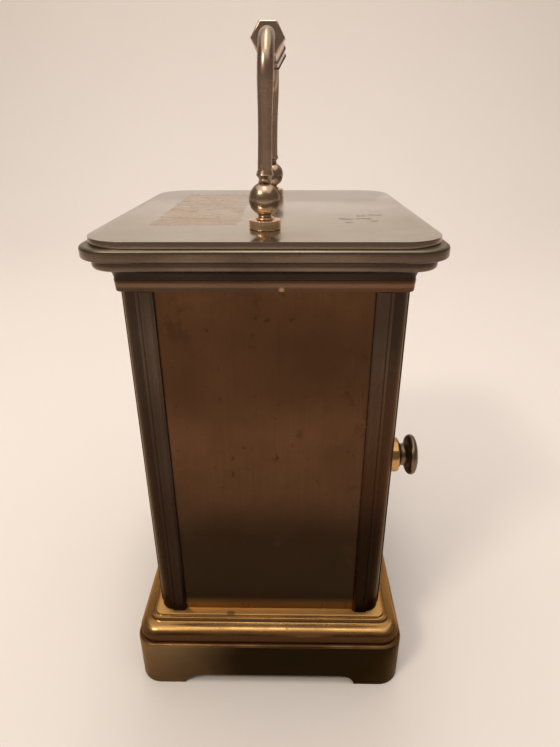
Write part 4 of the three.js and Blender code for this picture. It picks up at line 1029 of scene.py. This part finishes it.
# One sheet that curves up behind the clock, in metres.
WALL_X = -0.75
WALL_TOP = 1.6
SWEEP_R = 0.3
FLOOR_END = 1.5
FLOOR_HALF = 2.5
curve = arc((WALL_X + SWEEP_R, SWEEP_R), SWEEP_R, SWEEP_R, 180, 270, 16)
sweep = [(WALL_X, WALL_TOP), *curve, (FLOOR_END, 0.0)]
verts, faces = [], []
for x, z in sweep:
    verts += [(x, -FLOOR_HALF, z), (x, FLOOR_HALF, z)]
for i in range(len(sweep) - 1):
    faces.append((2 * i, 2 * i + 1, 2 * i + 3, 2 * i + 2))
floor_mesh = bpy.data.meshes.new("floor")
floor_mesh.from_pydata(verts, [], faces)
floor = bpy.data.objects.new("floor", floor_mesh)
bpy.context.scene.collection.objects.link(floor)
floor_mesh.materials.append(floor_graph.material)
shade(floor, 60)


def area_light(name, location, target, size, power, tint):
    """A rectangular light, in metres and watts, that faces its target."""
    data = bpy.data.lights.new(name, "AREA")
    data.shape = "RECTANGLE"
    data.size, data.size_y = size
    data.energy = power
    data.color = tint
    lamp = bpy.data.objects.new(name, data)
    bpy.context.scene.collection.objects.link(lamp)
    lamp.location = location
    direction = Vector(target) - Vector(location)
    lamp.rotation_euler = direction.to_track_quat("-Z", "Y").to_euler()


area_light("overhead", (0.05, 0.0, 1.0), (0.05, 0, 0), (1.3, 1.5), 7.0, (1.0, 0.97, 0.94))
area_light("wall_wash", (-0.30, 0.0, 1.05), (-0.75, 0, 0.20), (0.2, 1.3), 4.0, (0.99, 0.96, 0.95))
area_light("key", (0.49, -0.45, 0.75), (0, 0, 0.08), (0.18, 0.14), 2.6, (1.0, 0.90, 0.76))

world = bpy.data.worlds.new("studio")
bpy.context.scene.world = world
world.use_nodes = True
background = world.node_tree.nodes["Background"]
background.inputs["Color"].default_value = (0.90, 0.78, 0.68, 1.0)
background.inputs["Strength"].default_value = 0.22
bpy.context.scene.view_settings.view_transform = "Standard"

EYE = Vector((131.85, 4.53, 133.85))    # mm, from the middle of the case
YAW = -0.0162                           # radians, from the -x direction
PITCH = 0.4414
ROLL = -0.003
SENSOR = 36.0
FOCAL_SHARE = 533.08 / 747              # focal length as a share of the picture's height

look = Vector((-math.cos(YAW) * math.cos(PITCH), math.sin(YAW) * math.cos(PITCH), -math.sin(PITCH)))
right = Vector((math.sin(YAW), math.cos(YAW), 0))
up = right.cross(look)
camera_right = right * math.cos(ROLL) + up * math.sin(ROLL)
camera_up = up * math.cos(ROLL) - right * math.sin(ROLL)
camera_data = bpy.data.cameras.new("camera")
camera_data.sensor_width = SENSOR
camera_data.lens = SENSOR * FOCAL_SHARE
camera_data.clip_start = 0.005
camera = bpy.data.objects.new("camera", camera_data)
bpy.context.scene.collection.objects.link(camera)
station = Vector((EYE.x * MM, EYE.y * MM + CASE_Y, EYE.z * MM))
camera.matrix_world = Matrix((
    (camera_right.x, camera_up.x, -look.x, station.x),
    (camera_right.y, camera_up.y, -look.y, station.y),
    (camera_right.z, camera_up.z, -look.z, station.z),
    (0, 0, 0, 1),
))
bpy.context.scene.camera = camera
